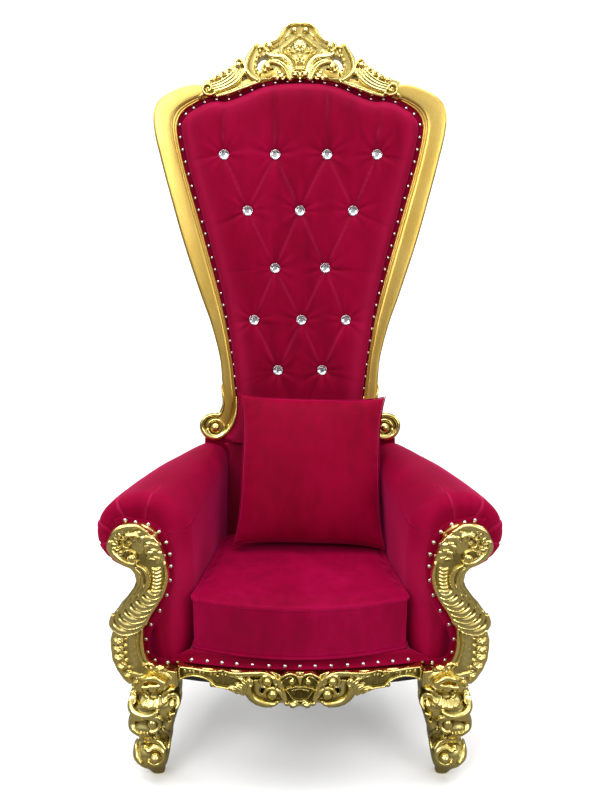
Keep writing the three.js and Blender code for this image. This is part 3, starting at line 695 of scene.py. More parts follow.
def crest_half(c):
    # The shield: its rim, two eyes, and the framed diamond with its rosette
    c.sweep([(0, 1103), (23, 1102), (39, 1092), (50, 1075), (62, 1062), (77, 1056), (89, 1054), (95, 1045),
             (89, 1035), (79, 1033)], (9, 10, 10, 9, 8, 7), 8)
    c.sweep([(24, 1084), (34, 1076), (45, 1061), (57, 1049), (70, 1043)], 3.6, 5.5, ridge)
    c.ball((15, 1086), 8.5, 12)
    c.ball((80, 1045), 9, 13)
    c.sweep([(0, 1073), (16, 1064), (32, 1051), (45, 1040), (41, 1031), (26, 1021), (14, 1008), (7, 995)], 3.8,
            7.5,
            ridge, ends=(0, 1))
    c.sweep([(0, 1064), (14, 1056), (28, 1044), (35, 1038), (27, 1029), (15, 1017), (6, 1002)], 2.8, 6, ridge,
            ends=(0, 1))
    c.leaf([(26, 1080), (34, 1072), (38, 1062)], 8, 6, 2)
    c.leaf([(57, 1034), (68, 1028), (82, 1030)], 13, 7, 2)
    for turn in (90, 45, 0, -45):
        a = math.radians(turn)
        c.leaf([(3 * math.cos(a), 1046 + 3 * math.sin(a)), (17 * math.cos(a), 1046 + 15 * math.sin(a))], 12, 8,
               1,
               notch=0.0, hollow=0.3)
    c.scroll([(14, 1031), (21, 1031)], (26, 1037), 6, -80, 230, (4, 5, 4, 3), 7, ridge)
    c.leaf([(4, 1002), (8, 1012), (16, 1022)], 9, 8, 2)
    c.scroll([(3, 984), (5, 980)], (11, 974), 7, 130, -300, (4, 5, 4), 7, eye=3.2)
    # The bands beside it, which turn over into the inner scrolls
    c.sweep([(92, 1031), (80, 1021), (64, 1019), (46, 1018), (31, 1007), (22, 992), (18, 974)],
            (7, 13, 15, 15, 14, 10),
            8, grooved(3), across=20)
    c.sweep([(24, 956), (30, 976), (40, 991), (54, 1002), (72, 1006), (90, 1002), (99, 992), (95, 983),
             (87, 982)],
            (16, 18, 18, 16, 14, 11, 9, 7, 5), 10, grooved(2), across=20)
    c.ball((85, 992), 8.5, 14)
    c.leaf([(42, 960), (50, 972), (58, 986)], 17, 8, 3)
    c.leaf([(57, 960), (67, 968), (77, 966)], 12, 7, 2)
    # The crescent with its scalloped inner edge
    c.sweep([(114, 1054), (127, 1035), (139, 1014), (143, 996), (139, 980), (127, 966), (108, 955)],
            (4, 10, 13, 14, 13, 12, 9), 10)
    for x, y, turn in [(113, 1036, 200), (119, 1023, 190), (124, 1010, 184), (126, 996, 180), (123, 983, 168),
                       (116, 972, 150)]:
        a = math.radians(turn)
        c.leaf([(x + 5 * math.cos(a - 0.6), y + 5 * math.sin(a - 0.6)),
                (x + 9 * math.cos(a), y + 9 * math.sin(a)),
                (x + 8 * math.cos(a + 0.8), y + 8 * math.sin(a + 0.8))], 8, 9, 1, notch=0.0)
    c.sweep([(97, 1046), (104, 1043), (112, 1040)], (8, 8, 7), 9)
    # The wing: a long leaf of smooth bands, small lobes on its upper edge, and an end scroll
    c.sweep([(146, 972), (146, 990), (150, 1004), (160, 1012), (171, 1006)], (7, 9, 9, 8, 5), 9)
    c.ball((163, 997), 8.5, 14)
    top = [(170, 998), (176, 983), (191, 967), (213, 954), (238, 947)]
    low = [(151, 990), (154, 971), (172, 951), (199, 937), (232, 929)]
    c.bands(top, low, (7, 10.5, 11, 9.5, 5), (8, 10, 10, 8))
    for x, s, turn in [(184, 985, 30), (200, 976, 20), (216, 967, 15)]:
        a = math.radians(turn)
        c.leaf([(x - 11 * math.cos(a), s - 9 * math.sin(a)), (x, s + 1), (x + 9 * math.cos(a), s - 5)], 13, 11,
               2,
               notch=0.15)
    c.ball((232, 959), 8, 13)
    c.scroll([(222, 927), (236, 921)], (244, 937), 16, -95, 400, (6, 8, 8, 6, 4), 9, eye=4)
    c.leaf([(256, 926), (263, 919), (270, 908)], 11, 8, 2)
    c.sweep([(104, 956), (128, 949), (160, 938), (190, 927), (224, 917)], (8, 12, 12, 11, 7), 8, grooved(2),
            across=20)


def crest():
    c = Carving(back_place(CREST_FACE))
    outline = CREST_OUTLINE + [(-u, s) for u, s in reversed(CREST_OUTLINE[1:-1])]
    holes = [[(side * u, s) for u, s in loop] for side in (-1, 1) for loop in CREST_OPENINGS]
    c.plate(outline, holes, CREST_FACE - CREST_BACK, 0)
    for side in (-1, 1):
        crest_half(Mirrored(c, side))
    c.leaf([(0, 1043), (0, 1031)], 12, 8, 1, notch=0.0, hollow=0.3)
    c.ball((0, 1046), 5, 11)
    c.leaf([(0, 1026), (0, 1016), (0, 1004)], 10, 8, 2)
    c.leaf([(0, 960), (0, 970), (0, 982)], 10, 7, 2)
    for s in (992, 987):
        c.sweep([(-14, s), (0, s), (14, s)], 3.6, 7)
    made = carved_object("crest_carving", c, 1.35, 126000)
    finish_piece(made, GILT_PALE, "gilt", "crest")


# Arm posts

POST_OUTLINE = [(316, 605), (330, 622), (346, 633), (366, 641), (386, 641), (408, 635), (424, 619),
                (430, 602),
                (426, 584), (417, 567), (400, 551), (382, 541), (374, 530), (371, 512), (378, 492),
                (390, 473),
                (408, 454), (424, 430), (433, 410), (430, 388), (437, 365), (437, 341), (435, 312),
                (424, 284),
                (412, 262), (400, 250), (360, 246), (292, 246), (290, 281), (330, 288), (350, 302),
                (362, 322),
                (368, 350), (366, 378), (352, 412), (330, 450), (311, 489), (302, 528), (303, 566)]


def inset_outline(outline, depth):
    """The outline moved inwards all round"""
    p = np.array(outline, float)
    slope = np.roll(p, -1, 0) - np.roll(p, 1, 0)
    slope = unit(slope)
    area = (p[:, 0] * np.roll(p[:, 1], -1) - np.roll(p[:, 0], -1) * p[:, 1]).sum()
    return (p + np.sign(area) * depth * leftward(slope)).tolist()


def post_carving(c):
    c.plate(POST_OUTLINE, [], -15, 3)
    c.plate(inset_outline(POST_OUTLINE, 5), [], POST_FACE - POST_REAR, -12)
    c.ball((362, 598), 44, 8)
    c.ball((388, 596), 40, 7)
    # Head: a smooth shell, a swirl with petals over it, a garland of cupped leaves, and an eye below
    c.sweep([(424, 614), (425, 592), (412, 572), (393, 558), (374, 556), (362, 564)], (10, 16, 18, 17, 13, 7),
            11)
    c.sweep([(338, 630), (362, 643), (388, 643), (411, 632), (425, 612)], (6, 12, 14, 12, 8), 8)
    c.scroll([(356, 620), (368, 626), (384, 625)], (385, 605), 14, 80, -290, (7, 10, 11, 10, 8, 6), 13,
             shrink=0.25)
    c.petals([((388, 624), (378, 641)), ((397, 620), (396, 639)), ((402, 612), (413, 630)),
              ((404, 602), (423, 612)), ((400, 592), (419, 592)), ((392, 584), (404, 573))], (2, 2), 15, 13,
             0.2)
    c.petals([((372, 610), (358, 631)), ((362, 602), (341, 620)), ((353, 592), (326, 605)),
              ((347, 580), (315, 587)), ((344, 568), (309, 567))], (5, 6), 30, 13, 0.25)
    c.ball((377, 571), 10, 18)
    c.scroll([(396, 586), (384, 590)], (377, 571), 15, 110, 150, (5, 7, 5), 12)
    # Neck: a bright crescent, a smooth leaf outside it, a ladder of scales, and the inner rail
    c.sweep([(368, 554), (353, 545), (343, 525), (345, 504), (358, 484), (373, 466)], (5, 11, 14, 13, 11, 5),
            12)
    c.sweep([(371, 545), (361, 526), (361, 506), (372, 487), (386, 468), (402, 447), (424, 428)],
            (6, 15, 18, 18, 17, 14, 8), 8, grooved(2), across=18)
    for z, u in [(542, 324), (533, 323), (524, 323), (515, 323), (506, 324), (497, 326), (488, 328)]:
        c.sweep([(u - 11, z + 3), (u, z - 2), (u + 11, z + 2)], (6, 10, 6), 8)
    c.sweep([(305, 560), (301, 540), (301, 518), (310, 487), (325, 459), (342, 432), (355, 402)],
            (7, 11, 12, 12, 11, 8), 10)
    # Nested shells down the outer bend
    first = np.array([(352, 506), (348, 488), (334, 476), (320, 480), (311, 494)])
    last = np.array([(428, 430), (430, 404), (408, 388), (378, 390), (356, 404)])
    rows = 7
    for k in range(rows):
        share = k / (rows - 1)
        path = first * (1 - share) + last * share
        c.sweep(path.tolist(), (7, 16, 21, 18, 8), (7, 11, 13 + 2 * share, 12, 8), ribbed, across=18)
    # Lower block: lobes down the outer edge, a plain field with punch marks, an inner moulding
    for u, z, turn in [(409, 378, 15), (411, 358, 5), (412, 338, 0), (411, 318, -12), (405, 298, -25),
                       (392, 278, -40),
                       (376, 264, -60)]:
        a = math.radians(turn)
        out = (math.cos(a), math.sin(a))
        c.leaf([(u - 6 * out[0], z - 6 * out[1]), (u + 8 * out[0], z + 2 + 8 * out[1]),
                (u + 20 * out[0] + 2, z - 4 + 18 * out[1])], 22, 13, 2, notch=0.15, hollow=0.1)
        c.ball((u - 9 * out[0], z - 9 * out[1] - 7), 4.2, 8)
    c.sweep([(361, 396), (364, 352), (358, 320), (344, 300), (326, 293)], (7, 11, 11, 8), 10)
    c.sweep([(371, 390), (375, 352), (369, 316), (354, 290), (336, 281)], (3, 5, 5, 3), 6)
    for k in range(6):
        for row in (0, 1):
            u, z = 382 + 8 * row - 0.4 * k, 374 - 15 * k - 6 * row
            c.sweep([(u, z), (u + 2.5, z + 6)], 3.2, 5)
    c.scroll([(368, 300), (356, 306)], (345, 296), 10, 70, 320, (6, 8, 8, 4), 12, eye=3.5)
    c.leaf([(338, 290), (324, 293), (308, 286)], 15, 12, 2, notch=0.15)
    c.leaf([(392, 282), (374, 270), (352, 270)], 18, 10, 1, notch=0.0)
    c.sweep([(330, 284), (312, 276), (298, 262)], (6, 9, 6), 8)


def post_mass(c, side):
    """The deep cheek and corner block behind the carved face"""
    for outline, rear in (([(366, 246), (366, 396), (429, 388), (436, 341), (432, 305), (417, 278),
                            (399, 250)],
                           CHEEK_DEPTH),
                          ([(BLOCK_INNER + 1, 241), (BLOCK_INNER + 1, 280), (377, 280), (396, 241)],
                           BLOCK_DEPTH)):
        for_side = [(side * u, z) for u, z in outline]
        c.plate(for_side, [], POST_FACE - rear, 0)


def arm_posts():
    c = Carving(post_place)
    post_carving(Mirrored(c, -1))
    post_mass(c, -1)
    left = carved_object("arm_post_carving_left", c, 1.4, 86000)
    finish_pair(left, GILT_WARM, "arm_post")


# Front legs: [height, outer u, inner u, front y, rear y]

LEG_STATIONS = [(0, 358, 328, -6, 20), (16, 371, 326, -14, 28), (36, 388, 318, -32, 32),
                (58, 393, 313, -38, 36),
                (78, 388, 310, -32, 38), (100, 374, 306, -18, 42), (118, 389, 304, -28, 48),
                (138, 401, 299, -38, 56), (157, 396, 293, -32, 64), (180, 402, 286, -38, 82),
                (202, 393, 284, -34, 98), (222, 376, 285, -18, 112), (240, 392, 285, -24, 127)]


def leg_section(z):
    table = np.array(LEG_STATIONS, float)
    return spline(table[:, 1:], np.interp(z, table[:, 0], np.linspace(0, 1, len(table)))).T


def leg_place(u, z, h):
    """Carving on the front of a leg, wrapped round its sides"""
    u, z, h = np.broadcast_arrays(np.asarray(u, float), np.asarray(z, float), np.asarray(h, float))
    outer, inner, front, _ = leg_section(z.ravel())
    shape = u.shape
    centre, half = (outer + inner).reshape(shape) / 2, (outer - inner).reshape(shape) / 2
    across = np.clip((np.abs(u) - centre) / half, -1.25, 1.25)
    y = front.reshape(shape) + 15 * np.abs(across) ** 3 - h * 0.9
    return world(np.sign(u) * (np.abs(u) + across * np.maximum(h, 0) * 0.18), y, z)


def leg_body(c):
    levels = np.linspace(0, LEG_HEIGHT + 16, 96)
    outer, inner, front, rear = leg_section(np.minimum(levels, LEG_HEIGHT))
    shrink = np.clip((levels - LEG_HEIGHT) / 16, 0, 1)
    front, outer, rear = front + 18 * shrink, outer - 14 * shrink, rear - 12 * shrink
    turn = 2 * np.pi * (np.arange(40) + 0.5) / 40
    square = lambda v: np.sign(v) * np.abs(v) ** 0.7
    u = (outer + inner)[:, None] / 2 + (outer - inner)[:, None] / 2 * square(np.cos(turn))[None, :] * 0.99
    y = (front + rear)[:, None] / 2 + (rear - front)[:, None] / 2 * square(np.sin(turn))[None, :] * 0.99
    c.rings(world(-u, y, np.broadcast_to(levels[:, None], u.shape)))


def leg_carving(c):
    # Knee: a spiral rim round a flower, lobes outside it, and a broad lip below
    c.scroll([(382, 222), (380, 244)], (346, 243), 30, 160, -235, (6, 11, 14, 14, 12, 8), 9, shrink=0.85)
    c.scroll([(352, 228), (362, 236)], (345, 242), 13, 20, 220, (6, 9, 9, 6), 7, shrink=0.5)
    c.ball((343, 243), 8, 9)
    c.petals([((352, 220), (370, 203)), ((344, 217), (352, 197)), ((336, 219), (332, 199)),
              ((330, 225), (316, 209))], (2, 0), 20, 8, 0.15)
    for a, b in [((380, 232), (394, 226)), ((382, 214), (399, 207))]:
        c.leaf([a, b], 20, 9, 1, notch=0.0, hollow=0.1)
    c.sweep([(400, 210), (397, 194), (384, 183), (364, 178), (344, 184), (328, 196)], (9, 17, 20, 18, 13, 7),
            9)
    # Waist: a large smooth scroll round its eye, with fine flutes below, a drop and a ridge
    c.sweep([(350, 180), (372, 172), (390, 164), (397, 149), (388, 131), (374, 117)], (7, 15, 19, 20, 16, 8),
            8)
    c.scroll([(318, 166), (330, 177)], (346, 157), 18, 70, 230, (7, 12, 12, 9), 8, shrink=0.9)
    c.ball((346, 157), 11, 13)
    c.bands([(382, 138), (373, 122), (366, 104)], [(358, 138), (352, 121), (349, 104)], (4, 7, 4), (6, 8, 5))
    c.sweep([(338, 142), (334, 127), (332, 110)], (3, 12, 3), 8)
    c.sweep([(323, 148), (313, 132), (309, 108), (313, 80)], (4, 6, 6, 4), 7)
    # Inner volute beside the knee
    c.scroll([(290, 240), (306, 238), (320, 222)], (300, 206), 18, 20, 220, (6, 11, 13, 11, 8), 8,
             shrink=0.85)
    c.ball((298, 207), 8, 10)
    c.scroll([(290, 186), (302, 184)], (308, 168), 12, 110, 200, (5, 8, 5), 10)
    # Foot: a round cap over an eye and its ring
    c.sweep([(392, 84), (388, 64), (374, 50)], (12, 20, 10), 9)
    c.sweep([(386, 88), (370, 100), (350, 104), (330, 97), (316, 82)], (8, 15, 16, 13, 7), 11)
    c.scroll([(372, 84), (364, 88)], (342, 70), 21, 40, 300, (7, 12, 13, 12, 9), 9, shrink=0.85)
    c.ball((342, 70), 11, 17)
    for a, b in [((356, 106), (362, 118)), ((368, 102), (378, 112)), ((342, 108), (340, 118))]:
        c.leaf([a, b], 11, 9, 1, notch=0.0)


def front_legs():
    c = Carving(leg_place)
    leg_body(c)
    leg_carving(Mirrored(Sunk(c, 16), -1))
    left = carved_object("front_leg_carving_left", c, 1.4, 62000)
    co = mesh_points(left.data)
    co[:, 2] = np.maximum(co[:, 2], 0)
    move_points(left.data, co)
    finish_pair(left, GILT, "front_leg")


# Apron

APRON_PROFILE = [(0, 212), (18, 208), (34, 220), (68, 215), (95, 219), (120, 236), (150, 250), (176, 248),
                 (194, 255),
                 (203, 265), (226, 272), (256, 270), (284, 255)]


def apron_half(c):
    # Centre: the arched double band, its eye, and the double outline of the cup
    c.sweep([(3, 287), (10, 297), (24, 300), (38, 294), (47, 284), (44, 268), (36, 250), (30, 230)],
            (5, 6, 7, 7, 7, 8, 9, 6), 9)
    c.sweep([(12, 287), (22, 292), (33, 287), (41, 276), (36, 262)], (3, 4, 4, 3), 7, ridge)
    c.ball((19, 281), 7, 13)
    c.sweep([(0, 267), (16, 266), (31, 260), (26, 250), (14, 234), (0, 230)], (4, 4.5, 4.5, 4), 9, ridge,
            ends=(0, 0))
    c.sweep([(0, 260), (12, 259), (23, 254)], 3.4, 7, ridge, ends=(0, 1))
    # The smooth scroll that comes off the top rail and turns round its ball
    c.sweep([(176, 300), (160, 296), (140, 295), (110, 297), (84, 298), (64, 292), (52, 280), (46, 264)],
            (4, 6, 8, 10, 11, 11, 9, 5), 9, grooved(2), across=18)
    c.sweep([(168, 293), (140, 288), (112, 291), (90, 292)], (3, 4, 4, 3), 7, ridge)
    c.scroll([(58, 262), (54, 272)], (75, 279), 17, 190, -270, (6, 9, 10, 9, 7), 11, shrink=0.85)
    c.ball((75, 279), 11, 16)
    # The lower scroll with its ball, and the large one that wraps it
    c.sweep([(34, 226), (42, 246), (54, 260), (70, 262), (80, 252), (78, 238)], (8, 11, 12, 12, 10, 6), 11)
    c.ball((63, 246), 11.5, 16)
    c.sweep([(112, 270), (117, 252), (110, 236), (96, 225), (76, 220), (58, 222), (48, 232)],
            (7, 15, 18, 18, 17, 14, 8), 11)
    c.sweep([(126, 262), (122, 244), (108, 226), (88, 215), (62, 214)], (4, 6, 7, 5), 8)
    c.sweep([(130, 250), (118, 230), (98, 214)], (3, 4, 3), 6)
    # The leaves beside it, and the plain end with its moulding and punch marks
    c.petals([((112, 262), (122, 282)), ((118, 254), (136, 276)), ((122, 244), (150, 266)),
              ((128, 240), (168, 258))], (-3, 3), 14, 11, 0.1)
    c.leaf([(124, 272), (142, 284), (162, 284)], 11, 8, 2)
    c.sweep([(282, 261), (264, 274), (240, 279), (216, 274), (202, 264), (194, 256)], (5, 7, 7, 5), 8)
    c.sweep([(200, 257), (182, 256), (162, 252), (142, 242)], (6, 6, 7, 5), 8)
    c.ball((204, 260), 5.5, 10)
    c.scroll([(176, 300), (188, 298)], (188, 289), 8, 90, -250, (4, 6, 4), 8)
    c.sweep([(190, 297), (214, 294), (246, 296), (282, 296)], (4, 6, 6, 5), 7)
    c.sweep([(280, 262), (281, 278), (280, 294)], 5, 7)
    for u in (170, 178, 196, 204, 222, 230, 246, 254, 266):
        c.sweep([(u, 283), (u + 2.5, 290)], 3, 4)
    # The leaf that hangs at the centre
    c.leaf([(3, 224), (14, 220), (22, 210)], 17, 11, 2, notch=0.15)
    c.leaf([(22, 226), (30, 220), (36, 226)], 10, 8, 1, notch=0.0)


def apron():
    c = Carving(apron_place)
    u = np.linspace(-BLOCK_INNER + GAP, BLOCK_INNER - GAP, 170)
    half = spline(APRON_PROFILE, np.linspace(0, 1, 120))
    low = np.interp(np.abs(u), half[:, 0], half[:, 1]) + 1.5
    notch = 7 * np.exp(-((np.abs(u) - 46) / 10) ** 2)
    top = APRON_TOP - 2 - notch - 4 * (np.abs(u) / BLOCK_INNER) ** 2
    ring = [(0, top), (-APRON_THICKNESS, top), (-APRON_THICKNESS, low), (0, low)]
    grid = np.stack([apron_place(u, z, np.full_like(u, float(h))) for h, z in ring], 1)
    body = ringed("apron_body", grid)
    for side in (-1, 1):
        drill = Carving(apron_place)
        for centre, size in (((85, 253), (9, 10)), ((104, 283), (13, 5))):
            turn = np.linspace(0, 2 * np.pi, 20, endpoint=False)
            loop = [(side * (centre[0] + size[0] * math.cos(a)),
                     centre[1] + size[1] * math.sin(a)) for a in turn]
            drill.plate(loop, [], -APRON_THICKNESS - 12 if size[1] > 8 else -9, 14)
        tool = drill.mesh("drill")
        outward(tool)
        cut = body.modifiers.new("cut", "BOOLEAN")
        cut.operation = "DIFFERENCE"
        cut.solver = "EXACT"
        cut.object = tool
        settle(body)
        bpy.data.objects.remove(tool)
    body_points = mesh_points(body.data)
    c.body(body_points, [tuple(p.vertices) for p in body.data.polygons])
    bpy.data.objects.remove(body)
    for side in (-1, 1):
        apron_half(Mirrored(c, side))
    c.sweep([(0, 272), (0, 284), (0, 298)], (4, 12, 8), 11)
    made = carved_object("apron_carving", c, 1.35, 92000)
    finish_piece(made, GILT, "gilt", "apron")


# Back frame

FRAME_EDGES = [(214, 3, 240, 12), (190, 34, 229, 52), (180, 62, 222, 76), (176, 106, 212, 108),
               (181, 162, 215, 160), (187, 217, 221, 225), (202, 313, 243, 313), (221, 400, 273, 400),
               (255, 531, 315, 531), (285, 640, 345, 640), (312, 741, 373, 750), (328, 822, 391, 832),
               (325, 858, 391, 884), (305, 886, 366, 920), (262, 910, 300, 949), (227, 919, 240, 949),
               (196, 919, 196, 945), (158, 932, 158, 958), (110, 952, 110, 978), (60, 963, 60, 990),
               (0, 966, 0, 993)]


def arm_section(share):
    radius = ARM_RADIUS[1] + (ARM_RADIUS[0] - ARM_RADIUS[1]) * (1 - share ** 1.7)
    panel = radius * (1 + PANEL_OFFSET * (1 - share))
    rise = radius * ROLL_FLATNESS
    return radius, rise, panel, ARM_TOP - ARM_TOP_FALL * share ** 2 - rise


def rail_outer(y):
    share = np.clip((y - ARM_FRONT) / (STILE_FOOT_Y - ARM_FRONT), 0, 1)
    return inner_line(y) + arm_section(share)[2]


def arm_inner_at(s):
    return inner_line(BACK_Y + s * math.sin(BACK_LEAN))


def back_s_at(z, n=0.0):
    return (z - BACK_PIVOT + n * math.sin(BACK_LEAN)) / math.cos(BACK_LEAN)


STILE_FOOT_S = back_s_at(RAIL_TOP, FRAME_DEPTH) + GAP
STILE_OUTER = float(rail_outer(STILE_FOOT_Y))
STILES = [(arm_inner_at(STILE_FOOT_S), STILE_FOOT_S, STILE_OUTER, STILE_FOOT_S),
          (arm_inner_at(-200), -200, STILE_OUTER, -200), (arm_inner_at(-30), -30, 250, -30)]
ALL_EDGES = np.array(STILES + FRAME_EDGES, float)

# The moulding across the frame, from its inner edge to its outer one: share across, depth
FRAME_MOULDING = [(0, FRAME_DEPTH), (0, 12), (0, 2), (0.01, -1.0), (0.03, -3.0), (0.055, -3.4), (0.075, -2.4),
                  (0.085, -1.4), (0.10, -2.6), (0.125, -4.4), (0.15, -4.6), (0.17, -3.4), (0.18, -3.2),
                  (0.20, -6.0), (0.23, -7.0), (0.32, -7.6), (0.45, -8.0), (0.60, -8.1), (0.75, -7.8),
                  (0.88, -7.2),
                  (0.93, -6.4), (0.965, -4.6), (0.985, -1.0), (0.995, 3), (1, 8), (1, 20),
                  (1, FRAME_DEPTH - 4),
                  (0.97, FRAME_DEPTH)]


def back_frame():
    at = np.linspace(0, 1, 420)
    inner = spline(ALL_EDGES[:, :2], at)
    outer = spline(ALL_EDGES[:, 2:], at)
    share, depth = np.array(FRAME_MOULDING).T
    behind = inner[:, 1][:, None] < 0
    grids = []
    for side in (-1, 1):
        edge = inner[:, None, :] + (outer - inner)[:, None, :] * share[None, :, None]
        n = np.where(behind & (depth[None, :] < 0), 0.0, depth[None, :])
        grids.append(back_place(0)(side * edge[..., 0], edge[..., 1], -n))
    made = ringed("back_frame_gilt", np.concatenate([grids[0], grids[1][::-1][1:]]))
    shade_smooth(made)
    mark_relief(made, 6, 6 * MM)
    finish_piece(made, GILT_SATIN, "gilt", "back_frame")
    scrolls = Carving(back_place(-7))
    for side in (-1, 1):
        half = Mirrored(scrolls, side)
        turn = np.linspace(0, 2 * np.pi, 48, endpoint=False)
        disc = [(VOLUTE[0] + (VOLUTE_RADIUS - 2) * math.cos(a), VOLUTE[1] + (VOLUTE_RADIUS - 2) * math.sin(a))
                for a in turn]
        half.plate(disc, [], -FRAME_DEPTH - 7, 0)
        half.sweep([(175, 118), (175, 78), (185, 42), (205, 16), (232, 2), (259, 11), (271, 36), (260, 58),
                    (238, 66),
                    (221, 66), (213, 80), (210, 106), (216, 150)],
                   (3, 8, 12, 15, 16, 16, 15, 12, 10, 9, 8, 7, 3),
                   (1, 4, 7, 8, 8, 8, 8, 8, 7, 6, 5, 4, 1), sink=14, across=18)
        ring = [(VOLUTE[0] + 22 * math.cos(a), VOLUTE[1] + 22
                 * math.sin(a)) for a in np.linspace(0, 2 * np.pi, 25)]
        half.sweep(ring, 9, 6)
        half.ball(VOLUTE, 16, 11)
    made = carved_object("stile_scrolls", scrolls, 1.5, 30000, 3)
    finish_piece(made, GILT, "gilt")
    wraps = Carving(back_place(0))
    for side in (-1, 1):
        half = Mirrored(wraps, side)
        half.plate([(196, 14), (214, 12), (262, 12), (266, -40), (262, -90), (190, -90), (190, 0)], [], -10,
                   5)
    made = carved_object("stile_wraps", wraps, 2.5, 8000, 8)
    finish_piece(made, VELVET, "velvet")


# Upholstery of the back

BUTTON_ROWS = [(764, (-202, -66, 72, 205)), (617, (-140, 0, 142)), (465, (-67, 68)), (326, (-124, 4, 124)),
               (190, (-60, 60))]
CREASE_REACH = 100
BUTTONS = [(u, s) for s, places in BUTTON_ROWS for u in places]


def back_patch(clearance, foot):
    """A patch over the back, from its foot to the arch: across from -1 to 1, rise from 0 to 1"""
    feet = [(arm_inner_at(s) - 2 * GAP, s) for s in (foot, -200, -60, -32)]
    rising = ALL_EDGES[ALL_EDGES[:, 1] > 0][:, :2]
    before = rising[[max(0, i - 1) for i in range(len(rising))]]
    after = rising[[min(len(rising) - 1, i + 1) for i in range(len(rising))]]
    slope = unit(after - before)
    shrunk = rising + clearance * leftward(slope)
    edge = np.vstack([feet, shrunk])
    edge[-1, 0] = 0
    turn = len(feet) + int(np.argmax(rising[:, 1] > 880))
    side = even(edge[:turn + 1], 2.0)
    top = even(edge[turn:][::-1], 2.0)
    start, corner, crown = edge[0], edge[turn], edge[-1]

    def patch(across, rise):
        a = np.abs(across)
        pick = lambda line, t: [np.interp(t, np.linspace(0, 1, len(line)), line[:, k]) for k in (0, 1)]
        side_u, side_s = pick(side, rise)
        top_u, top_s = pick(top, a)
        u = a * side_u + (1 - rise) * a * start[0] + rise * top_u - a * ((1 - rise) * start[0] + rise
                                                                         * corner[0])
        s = ((1 - a) * (start[1] + rise * (crown[1] - start[1])) + a * side_s + (1 - rise) * start[1] + rise
             * top_s
             - (1 - a) * ((1 - rise) * start[1] + rise * crown[1]) - a
             * ((1 - rise) * start[1] + rise * corner[1]))
        return np.sign(across) * u, s
    border = np.vstack([side, top[::-1]])
    return patch, np.vstack([border, border * (-1, 1)])


def nearest(u, s, line):
    """Distance from each point to a run of points"""
    best = np.full(u.shape, 1e9)
    for a, b in line:
        best = np.minimum(best, (u - a) ** 2 + (s - b) ** 2)
    return np.sqrt(best)


def crease(u, s, a, b):
    """Distance from each point to the stretch a to b, and the share of the way along it"""
    along_u, along_s = b[0] - a[0], b[1] - a[1]
    t = np.clip(((u - a[0]) * along_u + (s - a[1]) * along_s) / (along_u ** 2 + along_s ** 2), 0, 1)
    return np.hypot(u - a[0] - t * along_u, s - a[1] - t * along_s), t


def diamond_creases():
    pairs = []
    for (s1, row1), (s2, row2) in zip(BUTTON_ROWS, BUTTON_ROWS[1:]):
        for a in row1:
            for b in row2:
                if abs(a - b) < CREASE_REACH:
                    pairs.append(((a, s1), (b, s2)))
    return pairs


def border_width(s):
    """The flat border round the pad, which narrows towards the seat"""
    rise = np.clip((s - 180) / 320, 0, 1)
    return 5 + 8 * rise * rise * (3 - 2 * rise)


def tufting(u, s, edge_distance):
    """How far the back pad stands in front of its border, and where its creases catch the light and the band
    inside its edge shines, as painted highlights
    """
    inward = np.clip((edge_distance - border_width(s)) / 24, 0, 1)
    rim = np.sqrt(np.maximum(0, 1 - (1 - inward) ** 2))
    broad = np.clip(edge_distance / 130, 0, 1)
    height = PAD_CROWN * (0.78 * rim + 0.22 * rim * (1 - (1 - broad) ** 2))
    fold = np.zeros_like(u)
    seam = np.zeros_like(u)
    # Along each crease a thin painted highlight goes into the seam attribute
    for a, b in diamond_creases():
        d, t = crease(u, s, a, b)
        near = 1 - 0.5 * np.sin(np.pi * t) ** 0.8
        fold = np.maximum(fold, near * (5.0 * np.exp(-d / 20) + 2.0 * np.exp(-(d / 2.4) ** 2)))
        seam = np.maximum(seam, 0.19 * np.exp(-((d - 1.2) / 2.0) ** 2))
    for x, y in BUTTONS[:4]:
        lean = 0.03 * x
        for offset, depth in ((-2, 2.0), (7, 1.0)):
            d, t = crease(u, s, (x + offset * 0.3, y), (x + offset + lean, 960))
            fold = np.maximum(fold, (1 - 0.5 * t) * (4.2 * np.exp(-d / 14) + depth * np.exp(-(d / 2.2) ** 2)))
            seam = np.maximum(seam, 0.14 * depth * np.exp(-((d + 1) / 2.2) ** 2))
    sides = [((-202, 764), (-318, 742)), ((205, 764), (320, 742)), ((-140, 617), (-262, 560)),
             ((142, 617), (264, 560)), ((-67, 465), (-232, 452)), ((68, 465), (234, 450)),
             ((-124, 326), (-200, 318)),
             ((124, 326), (202, 318)), ((-60, 190), (-176, 150)), ((60, 190), (178, 150)),
             ((-60, 190), (0, 60)),
             ((60, 190), (0, 60))]
    for a, b in sides:
        d, t = crease(u, s, a, b)
        fold = np.maximum(fold, (1 - t) ** 0.7 * (2.6 * np.exp(-d / 16) + 1.0 * np.exp(-(d / 2.2) ** 2)))
    height = height - fold * rim
    for k, (x, y) in enumerate(BUTTONS):
        r = np.hypot(u - x, s - y)
        angle = np.arctan2(s - y, u - x)
        rays = np.cos(9 * angle + 2.1 * k) + 0.6 * np.cos(5 * angle + 1.3
                                                          * k) + 0.5 * np.cos(14 * angle + 0.7 * k)
        height += 1.5 * rays * (r / 12) * np.exp(-r / 20)
        height -= 6.0 * np.exp(-(r / 24) ** 2)
        sunk = np.exp(-(r / 13) ** 4)
        height = height * (1 - sunk) + (PAD_BORDER - BUTTON_SEAT - 1.5) * sunk
        seam *= 1 - np.exp(-(r / 26) ** 2)
    # A painted sheen along the band just inside the pad's edge
    seam = np.maximum(seam, 0.13 * np.exp(-((edge_distance - 30) / 20) ** 2))
    return np.maximum(height, 0), seam * rim


def soft_noise(points, scale, seed):
    """Smooth random lift of each point, from -1 to 1"""
    shift = Vector((seed * 7.1, seed * 3.3, seed * 5.7))
    return np.array([noise.noise(Vector(p) * scale + shift) for p in points])


